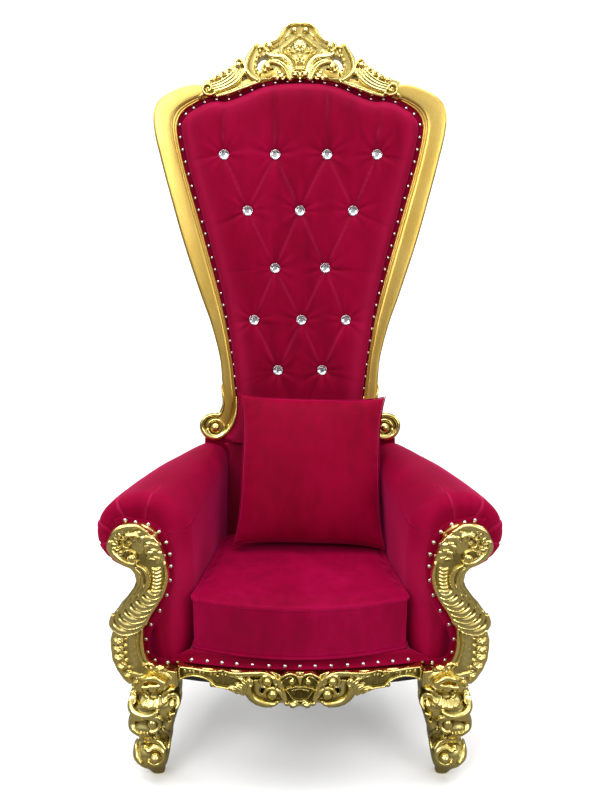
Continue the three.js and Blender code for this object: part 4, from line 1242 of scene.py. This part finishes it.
def grid_faces(rows, columns, start=0, flip=False):
    faces = []
    for j in range(rows - 1):
        for i in range(columns - 1):
            a = start + j * columns + i
            face = (a, a + 1, a + columns + 1, a + columns)
            faces.append(face[::-1] if flip else face)
    return faces


def rim_of(rows, columns):
    """The indices round the edge of a grid"""
    rim = ([(0, i) for i in range(columns)] + [(j, columns - 1) for j in range(1, rows)]
           + [(rows - 1, i) for i in range(columns - 2, -1, -1)] + [(j, 0) for j in range(rows - 2, 0, -1)])
    return [j * columns + i for j, i in rim]


def slab_object(name, shaped, flat, rounds):
    """A closed body from a shaped grid and the flat face behind it"""
    rows, columns = shaped.shape[:2]
    total = rows * columns
    loop = rim_of(rows, columns)
    count = len(loop)
    faces = grid_faces(rows, columns)
    for k, a in enumerate(loop):
        n = (k + 1) % count
        faces.append((loop[n], a, total + k, total + n))
    faces.append(tuple(range(total, total + count)))
    points = np.concatenate([shaped.reshape(-1, 3), flat.reshape(-1, 3)[loop]])
    made = mesh_object(name, points, faces)
    outward(made)
    shade_smooth(made)
    mark_relief(made, rounds, 5 * MM)
    return made


def patch_grid(foot, columns, rise):
    patch, border = back_patch(PATCH_CLEARANCE, foot)
    u, s = patch(*np.meshgrid(np.sin(np.pi / 2 * np.linspace(-1, 1, columns)), rise))
    return u, s, nearest(u, s, border[::3]), border


def back_pad():
    u, s, edge, border = patch_grid(back_s_at(DECK_TOP, PAD_REAR) + GAP, 181, np.linspace(0, 1, 381) ** 0.92)
    below = s < -10
    edge = np.where(below, np.maximum(edge, 40), edge)
    height, seam = tufting(u, s, edge)
    height = height * np.where(below, 0.7, 1.0)
    front = back_place(PAD_BORDER)(u, s, height)
    rear = back_place(PAD_REAR)(u, s, np.zeros_like(u))
    made = slab_object("tufted_back", front, rear, 10)
    mark_painted_highlight(made, seam)
    finish_piece(made, VELVET, "velvet", "back_pad")
    return border


def rear_panel():
    u, s, edge, _ = patch_grid(STILE_FOOT_S + GAP, 61, np.linspace(0, 1, 121))
    crown = np.clip(edge / 60, 0, 1)
    depth = REAR_THICKNESS - 6 + 6 * np.sqrt(np.clip(edge / 8, 0, 1)) + REAR_CROWN * (1 - (1 - crown) ** 2)
    front = back_place(PAD_REAR + GAP)(u, s, np.zeros_like(u))
    rear = back_place(PAD_REAR + GAP)(u, s, -depth)
    made = slab_object("rear_upholstery", rear, front, 6)
    finish_piece(made, VELVET, "velvet", "rear_panel")


# Arms

# Shares round an arm's outline, closer together where its gathers are
ARM_SHARES = np.interp(np.linspace(0, 1, 186), [0, 0.20, 0.82, 1], [0, 0.28, 0.72, 1])


def arm_ring(share, inset, depth):
    """One section of an arm; its front corner is rounded most towards the seat"""
    radius, rise, panel, centre = arm_section(share)
    bottom = RAIL_TOP + 2 * GAP
    wall = [(0, z) for z in np.linspace(bottom, centre - 6, 26)]
    turn = np.radians(np.linspace(180, NECK_ANGLE, 64))
    roll = np.stack([radius + radius * np.cos(turn), centre + rise * np.sin(turn)], -1)
    neck = even([roll[-1], (panel - 3, centre - rise - 12), (panel, centre - rise - 40)], 3)
    panel_wall = [(panel, z) for z in np.linspace(centre - rise - 52, bottom, 22)]
    outline = np.vstack([wall, roll, neck[1:], panel_wall])
    run = run_of(outline)
    at = ARM_SHARES * run[-1]
    out, z = (np.interp(at, run, outline[:, k]) for k in (0, 1))
    slope_out, slope_z = np.gradient(out), np.gradient(z)
    length = np.hypot(slope_out, slope_z)
    soft = np.interp(at / run[-1], [0, 0.28, 0.45, 0.62, 1], [1.75, 1.75, 1.1, 1.0, 0.5])
    out = out + soft * inset * slope_z / length
    z = np.where(z > bottom + 1, z - soft * inset * slope_out / length, z)
    y = ARM_FRONT + depth * soft ** 1.35 + share * (back_y_at(z) - GAP - ARM_FRONT)
    return np.stack([inner_line(y) + out, y, z], -1)


# Gathers where the roll turns onto its front: [share round the outline, lean, depth]
ARM_PLEATS = [(0.33, 0.4, 2.4), (0.45, -0.3, 4.0), (0.53, 0.2, 4.2), (0.60, -0.2, 4.0), (0.655, 0.2, 3.4),
              (0.70, -0.2, 2.4)]


def arm(side):
    rings = []
    weights = []
    for k in np.linspace(0.03, 0.97, 15):
        ring = arm_ring(0.0, ARM_EDGE, 0.0)
        middle = ring.mean(0)
        middle[2] = ring[:, 2].mean()
        rings.append(middle + (ring - middle) * k)
        weights.append(max(0.0, (k - 0.35) / 0.65) ** 1.5)
    for turn in np.linspace(0, np.pi / 2, 10):
        rings.append(arm_ring(0.0, ARM_EDGE * (1 - math.sin(turn)), ARM_EDGE * (1 - math.cos(turn))))
        weights.append(1.0)
    for share in np.linspace(0.012, 1, 74):
        rings.append(arm_ring(share, 0.0, ARM_EDGE * max(0.0, 1 - share / 0.25)))
        weights.append(math.exp(-(share / 0.16) ** 1.3))
    last = rings[-1]
    for k in (0.9, 0.6, 0.3, 0.05):
        rings.append(last.mean(0) + (last - last.mean(0)) * k)
        weights.append(0.0)
    grid = np.array(rings)
    weight = np.array(weights)[:, None]
    around = ARM_SHARES[None, :]
    slope_r = np.gradient(grid, axis=0)
    slope_a = np.gradient(grid, axis=1)
    normal = np.cross(slope_r, slope_a)
    normal /= np.maximum(np.linalg.norm(normal, axis=2), 1e-9)[..., None]
    row = np.arange(len(rings))[:, None] / len(rings)
    lift = np.zeros(grid.shape[:2])
    seam = np.zeros(grid.shape[:2])
    # Each gather sinks the cloth; the seam attribute gets a thin painted highlight beside it
    for at, lean, depth in ARM_PLEATS:
        d = (around - at - lean * (row - 0.2) * 0.12) * 1150
        lift -= depth * weight * (np.exp(-(d / 3.0) ** 2) - 0.4 * np.exp(-((d - 10) / 9) ** 2))
        seam = np.maximum(seam, 0.13 * depth * weight * np.exp(-((d - 2.6) / 2.4) ** 2))
    random = soft_noise(grid.reshape(-1, 3) * MM, 9.0, 1).reshape(grid.shape[:2])
    # The seam attribute also gets a painted sheen over a broad band of the inner wall, varied by soft noise
    seam = np.maximum(seam, (0.20 + 0.12 * random) * np.exp(-((around - 0.20) / 0.11) ** 2)
                      * np.clip(row * 4, 0, 1))
    lift += 1.6 * random * np.clip((row - 0.02) * 8, 0, 1) * np.clip((1 - row) * 6, 0, 1)
    facing = np.sign((normal * (grid - grid.mean((0, 1)))).sum(2).mean())
    grid = grid + normal * (lift * facing)[..., None]
    name = "left" if side < 0 else "right"
    made = ringed(f"rolled_arm_{name}", world(side * grid[..., 0], grid[..., 1], grid[..., 2]))
    shade_smooth(made)
    mark_relief(made, 6, 4 * MM)
    mark_painted_highlight(made, seam)
    finish_piece(made, VELVET, "velvet", f"arm_{name}")


# Trimmings: fabric bands, piping and nailheads

def tube(points, radius, sides=10, closed=False, flat=1.0, up=None):
    """A round cord along points in metres"""
    p = np.array(points, float)
    if closed:
        slope = np.roll(p, -1, 0) - np.roll(p, 1, 0)
    else:
        slope = np.gradient(p, axis=0)
    slope = unit(slope)
    guide = np.tile(np.array(up if up is not None else (0.0, 0.0, 1.0)), (len(p), 1))
    side = np.cross(slope, guide)
    side /= np.maximum(np.linalg.norm(side, axis=1), 1e-6)[:, None]
    normal = np.cross(side, slope)
    turn = 2 * np.pi * np.arange(sides) / sides
    ring = (side[:, None, :] * np.cos(turn)[None, :, None]
            + flat * normal[:, None, :] * np.sin(turn)[None, :, None])
    return p[:, None, :] + ring * radius


def band_object(name, strips):
    """Rings of several open or closed cords, as one mesh; each strip is (rings, closed)"""
    points, faces, total = [], [], 0
    for rings, closed in strips:
        count, sides = rings.shape[:2]
        last = count if closed else count - 1
        for r in range(last):
            for k in range(sides):
                j, n = (k + 1) % sides, (r + 1) % count
                faces.append((total + r * sides + k, total + r * sides + j, total + n * sides + j,
                              total + n * sides + k))
        if not closed:
            faces.append(tuple(total + k for k in range(sides)))
            faces.append(tuple(total + (count - 1) * sides + k for k in reversed(range(sides))))
        points.append(rings.reshape(-1, 3))
        total += count * sides
    made = mesh_object(name, np.concatenate(points), faces)
    outward(made)
    shade_smooth(made)
    mark_relief(made, 2, 4 * MM)
    return made


def nail_rings(point, normal, radius):
    """A domed nailhead on a surface"""
    n = np.array(normal, float)
    n /= np.linalg.norm(n)
    side = np.cross(n, (0.0, 0.0, 1.0) if abs(n[2]) < 0.9 else (1.0, 0.0, 0.0))
    side /= np.linalg.norm(side)
    other = np.cross(n, side)
    turn = 2 * np.pi * np.arange(12) / 12
    ring = side * np.cos(turn)[:, None] + other * np.sin(turn)[:, None]
    levels = [(0.8, -0.3), (1.0, 0.0), (0.96, 0.22), (0.76, 0.5), (0.42, 0.68), (0.1, 0.74)]
    return np.stack([np.array(point) + ring * radius * r + n * radius * h for r, h in levels])


def nails(name, places, radius=5.0):
    strips = [(nail_rings(point, normal, radius * MM), False) for point, normal in places]
    made = band_object(name, strips)
    finish_piece(made, NICKEL, "nickel")


FORWARD = (0.0, -1.0, 0.0)
BACK_FORWARD = (0.0, -math.cos(BACK_LEAN), math.sin(BACK_LEAN))
POST_NAILS = [(395, 646), (372, 641), (343, 636), (319, 618), (304, 592), (297, 563), (296, 533), (299, 498),
              (308, 461), (326, 422), (348, 386), (361, 348), (358, 314), (342, 293), (312, 287), (288, 291)]
BAND_NAIL_STEP = 36.0
BACK_NAIL_STEP = 33.0


def post_trim():
    strips, places = [], []
    for side in (-1, 1):
        line = even([(418, 640), *POST_NAILS], 6)
        points = world(side * line[:, 0], np.full(len(line), ARM_FRONT - 0.2), line[:, 1])
        strips.append((tube(points, 8.5 * MM, 12, flat=0.34, up=FORWARD), False))
        for u, z in POST_NAILS:
            places.append((world(side * u, ARM_FRONT - 3.2, z), FORWARD))
    made = band_object("post_gimp", strips)
    finish_piece(made, VELVET, "velvet")
    nails("post_nails", places)


def seat_band():
    """The velvet band between the apron and the cushion, with its nailheads"""
    u = np.linspace(-304, 304, 150)
    sag = 1.2 * np.sin(u / 21.0) + 0.9 * np.sin(u / 9.3 + 1)
    y = BASE_FRONT - bow_at(u, BLOCK_INNER, BASE_BOW)
    end = np.clip((np.abs(u) - 244) / 50, 0, 1)
    scale = 1 - 0.62 * end * end * (3 - 2 * end)
    section = [(6, 303.5), (-19, 303.8), (-21.5, 306), (-19, 309.5), (-13, 313), (-8.5, 317), (-5.5, 321),
               (-5.2, 325), (-4.0, 330), (2, 331), (8, 331), (10, 315)]
    grid = np.stack([world(u, y + 4 * end + out * scale, 303 - 9 * end + (z - 303) * scale + sag
                           * (308 < z < 327))
                     for out, z in section], 1)
    made = band_object("seat_band", [(grid, False)])
    finish_piece(made, VELVET, "velvet")
    places = []
    for k in range(-7, 8):
        x = k * BAND_NAIL_STEP + 1.5 * math.sin(5.0 * k)
        end = min(1.0, max(0.0, (abs(x) - 244) / 50))
        face = BASE_FRONT - float(bow_at(x, BLOCK_INNER, BASE_BOW)) - 15 * (1 - 0.6 * end)
        height = 311 - 9 * end + 1.2 * math.sin(3.1 * k)
        places.append((world(x, face, height), (-0.0009 * x, -1, 0.6)))
    nails("band_nails", places)


def back_nails(border):
    """Nailheads on the border band round the tufted back"""
    places = []
    right = border[:len(border) // 2]
    right = right[right[:, 1] > 30]
    slope = unit(np.gradient(right, axis=0))
    inside = right + (0.5 * border_width(right[:, 1]) + 0.8)[:, None] * leftward(slope)
    run = run_of(inside)
    count = int(run[-1] / BACK_NAIL_STEP)
    put = back_place(PAD_BORDER)
    for k in range(count + 1):
        at = run[-1] - k * BACK_NAIL_STEP
        u, s = (np.interp(at, run, inside[:, i]) for i in (0, 1))
        for side in (-1, 1) if k else (1,):
            places.append((put(side * u, s, 0.6), BACK_FORWARD))
    nails("back_nails", places, 4.4)


# Crystal buttons

def crystal_button(index, u, s):
    """A faceted crystal in a silver cup"""
    put = back_place(BUTTON_SEAT)
    sides = 8
    turns = 2 * np.pi * (np.arange(sides) + 0.13 * index) / sides
    offset = turns + np.pi / sides
    levels = [(10.2, 1.2, turns), (11.3, 3.4, turns), (11.1, 4.2, offset), (8.1, 7.4, turns),
              (5.2, 8.9, offset)]
    rings = np.stack([put(u + r * np.cos(t), s + r * np.sin(t), h) for r, h, t in levels])
    made = ringed(f"crystal_stone_{index:02d}", rings)
    finish_piece(made, CRYSTAL, "crystal", f"crystal_button_{index:02d}")
    turns = np.linspace(0, 2 * np.pi, 28, endpoint=False)
    cup = [(2.0, -2.6), (9.0, -2.6), (12.8, -1.4), (13.4, 1.6), (13.2, 3.6), (12.3, 4.2), (11.5, 3.4),
           (10.0, 1.0),
           (6.0, 0.7), (1.0, 0.9)]
    rings = np.stack([put(u + r * np.cos(turns), s + r * np.sin(turns), h) for r, h in cup])
    made = ringed(f"crystal_cup_{index:02d}", rings)
    shade_smooth(made)
    finish_piece(made, SILVER, "nickel")


# Cushions

def inflate(made, pressure, cap, pinned, stiffness, bending, frames=20):
    """Blows a closed cloth up from inside and keeps the result"""
    start = mesh_points(made.data)
    made.vertex_groups.new(name="pinned").add([int(i) for i in pinned], 1.0, "REPLACE")
    cloth = made.modifiers.new("cloth", "CLOTH")
    cloth.settings.use_pressure = True
    cloth.settings.uniform_pressure_force = pressure
    cloth.settings.effector_weights.gravity = 0
    cloth.settings.tension_stiffness = stiffness
    cloth.settings.compression_stiffness = stiffness
    cloth.settings.bending_stiffness = bending
    cloth.settings.quality = 6
    cloth.settings.vertex_group_mass = "pinned"
    cloth.point_cache.frame_start = 1
    cloth.point_cache.frame_end = frames
    scene.frame_start, scene.frame_end = 1, frames
    for k in range(1, frames + 1):
        scene.frame_set(k)
    graph = bpy.context.evaluated_depsgraph_get()
    end = mesh_points(made.evaluated_get(graph).data)
    made.modifiers.clear()
    move = end - start
    length = np.linalg.norm(move, axis=1)
    move *= np.minimum(1, cap / np.maximum(length, 1e-9))[:, None]
    move_points(made.data, (start + move))
    made.data.update()
    scene.frame_set(1)


def finer(made):
    """Rounds off a cloth once its form is final"""
    smooth = made.modifiers.new("finer", "SUBSURF")
    smooth.levels = smooth.render_levels = 1
    settle(made)
    shade_smooth(made)
    mark_relief(made, 8, 4 * MM)


def cushion_half(y, inset):
    return inner_line(y) - 2 * GAP - inset


def cushion_point(a, t, inset):
    """A point of the cushion's plan: a from -1 to 1 across, t from 0 to 1 towards the back"""
    half0 = cushion_half(0.0, inset)
    front = inset - bow_at(a * half0, half0, CUSHION_BOW)
    rear = CUSHION_DEPTH - inset
    y = front + (rear - front) * t
    half = cushion_half(np.maximum(y, 0.0), inset)
    corner = 26 * np.clip((t - 0.9) / 0.1, 0, 1) ** 2 + 10 * np.clip((0.06 - t) / 0.06, 0, 1) ** 2
    return a * (half - corner), y


def seat_cushion():
    columns, rows, walls = 54, 40, 12
    a = np.sin(np.pi / 2 * np.linspace(-1, 1, columns)) * 0.35 + 0.65 * np.linspace(-1, 1, columns)
    t = np.linspace(0, 1, rows)
    grid_a, grid_t = np.meshgrid(a, t)
    x, y = cushion_point(grid_a, grid_t, CUSHION_INSET)
    dome_height = 9.0 * (1 - np.abs(grid_a) ** 2.6) * (1 - np.abs(2 * grid_t - 1) ** 2.6)
    top = world(x, y, DECK_TOP + CUSHION_THICKNESS - 5 + dome_height)
    low = world(x, y, np.full_like(x, DECK_TOP + 3))
    total = rows * columns
    points = [top.reshape(-1, 3), low.reshape(-1, 3)]
    faces = grid_faces(rows, columns) + grid_faces(rows, columns, total, True)
    loop = rim_of(rows, columns)
    previous = loop
    start = 2 * total
    for w in range(1, walls + 1):
        if w < walls:
            share = w / walls
            wall = points[0][loop] * (1 - share) + points[1][loop] * share
            points.append(wall)
            current = list(range(start, start + len(loop)))
            start += len(loop)
        else:
            current = [i + total for i in loop]
        for k in range(len(loop)):
            n = (k + 1) % len(loop)
            faces.append((previous[n], previous[k], current[k], current[n]))
        previous = current
    made = mesh_object("seat_cushion_cloth", np.concatenate(points), faces)
    outward(made)
    pinned = [i + total for i in loop]
    inflate(made, 1.6, SIMULATED_MOVE, pinned, stiffness=40, bending=6.0)
    co = mesh_points(made.data)
    co[:, 2] = np.maximum(co[:, 2], DECK_TOP * MM + 1 * MM)
    half = inner_line(co[:, 1] / MM - SHIFT_Y) * MM - 1.2 * MM
    co[:, 0] = np.clip(co[:, 0], -half, half)
    random = soft_noise(co, 14.0, 3)
    co[:, 2] += np.where(co[:, 2] > (DECK_TOP + 120) * MM, 1.6 * MM * random, 0)
    move_points(made.data, co)
    seam = co[loop]
    bottom_seam = co[[i + total for i in loop]]
    finer(made)
    finish_piece(made, CUSHION_VELVET, "cushion_velvet", "seat_cushion")
    piping = band_object("cushion_piping", [(tube(seam, 5.2 * MM, 10, True), True),
                                            (tube(bottom_seam + (0, 0, 3 * MM), 4.0 * MM, 8, True), True)])
    finish_piece(piping, CUSHION_VELVET, "cushion_velvet")


def throw_pillow():
    count = 64
    half = PILLOW_SIZE / 2
    line = np.linspace(-1, 1, count)
    a, b = np.meshgrid(line, line)
    puff = 0.5 * PILLOW_THICKNESS * ((1 - a ** 2) * (1 - b ** 2)) ** 0.42
    pull = 1 - PILLOW_SIDES[0] * (1 - np.abs(b) ** PILLOW_SIDES[1]) * a ** 2
    pull_b = 1 - PILLOW_ENDS[0] * (1 - np.abs(a) ** PILLOW_ENDS[1]) * b ** 2
    front = np.stack([a * half * pull, -puff, b * half * pull_b], -1) * MM
    rear = np.stack([a * half * pull, puff, b * half * pull_b], -1) * MM
    total = count * count
    inner = [j * count + i for j in range(1, count - 1) for i in range(1, count - 1)]
    index = {k: total + n for n, k in enumerate(inner)}
    faces = grid_faces(count, count)
    faces += [tuple(index.get(k, k) for k in reversed(face)) for face in grid_faces(count, count)]
    made = mesh_object("throw_pillow_cloth", np.concatenate([front.reshape(-1, 3),
                                                             rear.reshape(-1, 3)[inner]]), faces)
    outward(made)
    inflate(made, 0.8, SIMULATED_MOVE, rim_of(count, count), stiffness=15, bending=0.6, frames=16)
    co = mesh_points(made.data)
    co -= (co.max(0) + co.min(0)) / 2
    co *= np.array([2 * half, PILLOW_THICKNESS, PILLOW_HEIGHT]) * MM / (co.max(0) - co.min(0))
    co[:, 2] += PILLOW_LIFT * MM
    random = soft_noise(co, 11.0, 5)
    co[:, 1] += np.sign(co[:, 1]) * 1.6 * MM * random * np.clip(np.abs(co[:, 1]) / (20 * MM), 0, 1)
    # Short gathers that run in from the seams
    for across, along_seam in ((0, 2), (2, 0)):
        inward = np.clip(1 - np.abs(co[:, across]) / (half * 0.92 * MM), 0, 1)
        place = co[:, along_seam] / MM
        wave = np.sin(place / 6.5 + 2 * np.sin(place / 31)) * (0.6 + 0.4 * np.sin(place / 17 + across))
        co[:, 1] += np.sign(co[:, 1]) * 1.5 * MM * wave * np.exp(-inward / 0.10) * np.clip(inward / 0.03, 0, 1)
    loop = rim_of(count, count)
    co = pillow_place(co)
    move_points(made.data, co)
    seam = co[loop]
    finer(made)
    finish_piece(made, PILLOW_VELVET, "cushion_velvet", "throw_pillow")
    edging = band_object("pillow_seam", [(tube(seam, 1.7 * MM, 8, True, up=FORWARD), True)])
    finish_piece(edging, PILLOW_VELVET, "cushion_velvet")


def pillow_place(points):
    """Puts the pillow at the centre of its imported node, leaning and turned as that is"""
    low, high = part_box("throw_pillow")
    centre = np.array((low + high) / 2)
    lean, turn = -PILLOW_LEAN, PILLOW_TURN
    x, y, z = points.T
    x, z = x * math.cos(turn) + z * math.sin(turn), -x * math.sin(turn) + z * math.cos(turn)
    y, z = y * math.cos(lean) - z * math.sin(lean), y * math.sin(lean) + z * math.cos(lean)
    return np.stack([x, y, z], -1) + centre


# Plain woodwork that stays as packed, with its edges eased

def eased_nodes():
    for name, width in (("rear_leg_left", 3), ("rear_leg_right", 3), ("side_rail_left", 2.5),
                        ("side_rail_right", 2.5), ("rear_rail", 2.5)):
        piece = frame["nodes"][name]
        piece.data.materials.clear()
        piece.data.materials.append(GILT_PLAIN)
        bevel = piece.modifiers.new("eased", "BEVEL")
        bevel.width = width * MM
        bevel.segments = 3
        bevel.limit_method = "ANGLE"
    base = frame["nodes"]["seat_base"]
    base.data.materials.clear()
    base.data.materials.append(LINED_VELVET)


# Stage, light and camera

CAMERA_PLACE = (0.0, -2.08762, 1.3802)
CAMERA_PITCH = 14.2
CAMERA_LENS = 38.25
CAMERA_SENSOR = 36.0


def stage():
    camera = bpy.data.objects.new("camera", bpy.data.cameras.new("camera"))
    camera.data.lens = CAMERA_LENS
    camera.data.sensor_width = CAMERA_SENSOR
    camera.location = CAMERA_PLACE
    camera.rotation_euler = (math.radians(90 - CAMERA_PITCH), 0, 0)
    scene.collection.objects.link(camera)
    scene.camera = camera
    turn = np.linspace(0, math.pi / 2, 16)
    profile = [(-9.0, 0.0), (2.2, 0.0), *zip(2.2 + 2 * np.sin(turn), 2 - 2 * np.cos(turn)), (4.2, 9.0)]
    points = [(x, y, z) for y, z in profile for x in (-12.0, 12.0)]
    floor = mesh_object("floor", points, [(2 * i, 2 * i + 1, 2 * i + 3,
                                           2 * i + 2) for i in range(len(profile) - 1)])
    shade_smooth(floor)
    material, tree, shader = new_material("studio_paper")
    # Seen in glossy rays the floor is dark: a painted dark reflection in the gilding; the camera sees it pale
    mirrored = node(tree, "ShaderNodeLightPath").outputs["Is Glossy Ray"]
    tree.links.new(blend_colours(tree, mirrored, (0.92, 0.92, 0.92, 1), (0.16, 0.15, 0.13, 1)),
                   shader.inputs["Base Color"])
    shader.inputs["Roughness"].default_value = 0.9
    floor.data.materials.append(material)
    lamps = [("key", (-1.8, -2.9, 3.2), 1.8, 66, (0, -0.1, 0.9)),
             ("fill", (2.5, -2.7, 2.2), 1.5, 36, (0, 0, 0.8)),
             ("top", (0, -0.5, 4.2), 2.4, 44, (0, 0, 0.8)), ("rim_left", (-2.6, 1.4, 2.4), 1.0, 26,
                                                             (0, 0.2, 1.0)),
             ("rim_right", (2.6, 1.4, 2.4), 1.0, 26, (0, 0.2, 1.0)),
             ("paper", (0, 0.6, 4.6), 3.5, 130, (0, 4.0, 1.6))]
    for name, place, size, power, target in lamps:
        light = bpy.data.lights.new(name, "AREA")
        light.shape = "SQUARE"
        light.size = size
        light.energy = power
        lamp = bpy.data.objects.new(name, light)
        lamp.location = place
        lamp.rotation_euler = (Vector(target) - Vector(place)).to_track_quat("-Z", "Y").to_euler()
        scene.collection.objects.link(lamp)
    sky = bpy.data.worlds.new("studio")
    sky.use_nodes = True
    tree = sky.node_tree
    direction = node(tree, "ShaderNodeTexCoord").outputs["Generated"]
    height = node(tree, "ShaderNodeSeparateXYZ", {0: direction}).outputs["Z"]
    glow = ramp(tree, calc(tree, "MULTIPLY", calc(tree, "ADD", height, 1.0), 0.5), (0.45, (0.10, 0.10, 0.10)),
                (0.53, (0.09, 0.09, 0.095)), (0.60, (0.50, 0.50, 0.51)), (0.80, (1.1, 1.1, 1.1)))
    seen = node(tree, "ShaderNodeLightPath").outputs["Is Camera Ray"]
    tree.links.new(blend_colours(tree, seen, glow, (1.2, 1.2, 1.2, 1)),
                   tree.nodes["Background"].inputs["Color"])
    tree.nodes["Background"].inputs["Strength"].default_value = 0.8
    scene.world = sky
    scene.view_settings.view_transform = "Standard"


stage()
crest()
arm_posts()
front_legs()
apron()
back_frame()
pad_border = back_pad()
rear_panel()
arm(-1)
arm(1)
post_trim()
seat_band()
back_nails(pad_border)
for button, (button_u, button_s) in enumerate(BUTTONS, 1):
    crystal_button(button, button_u, button_s)
seat_cushion()
throw_pillow()
eased_nodes()
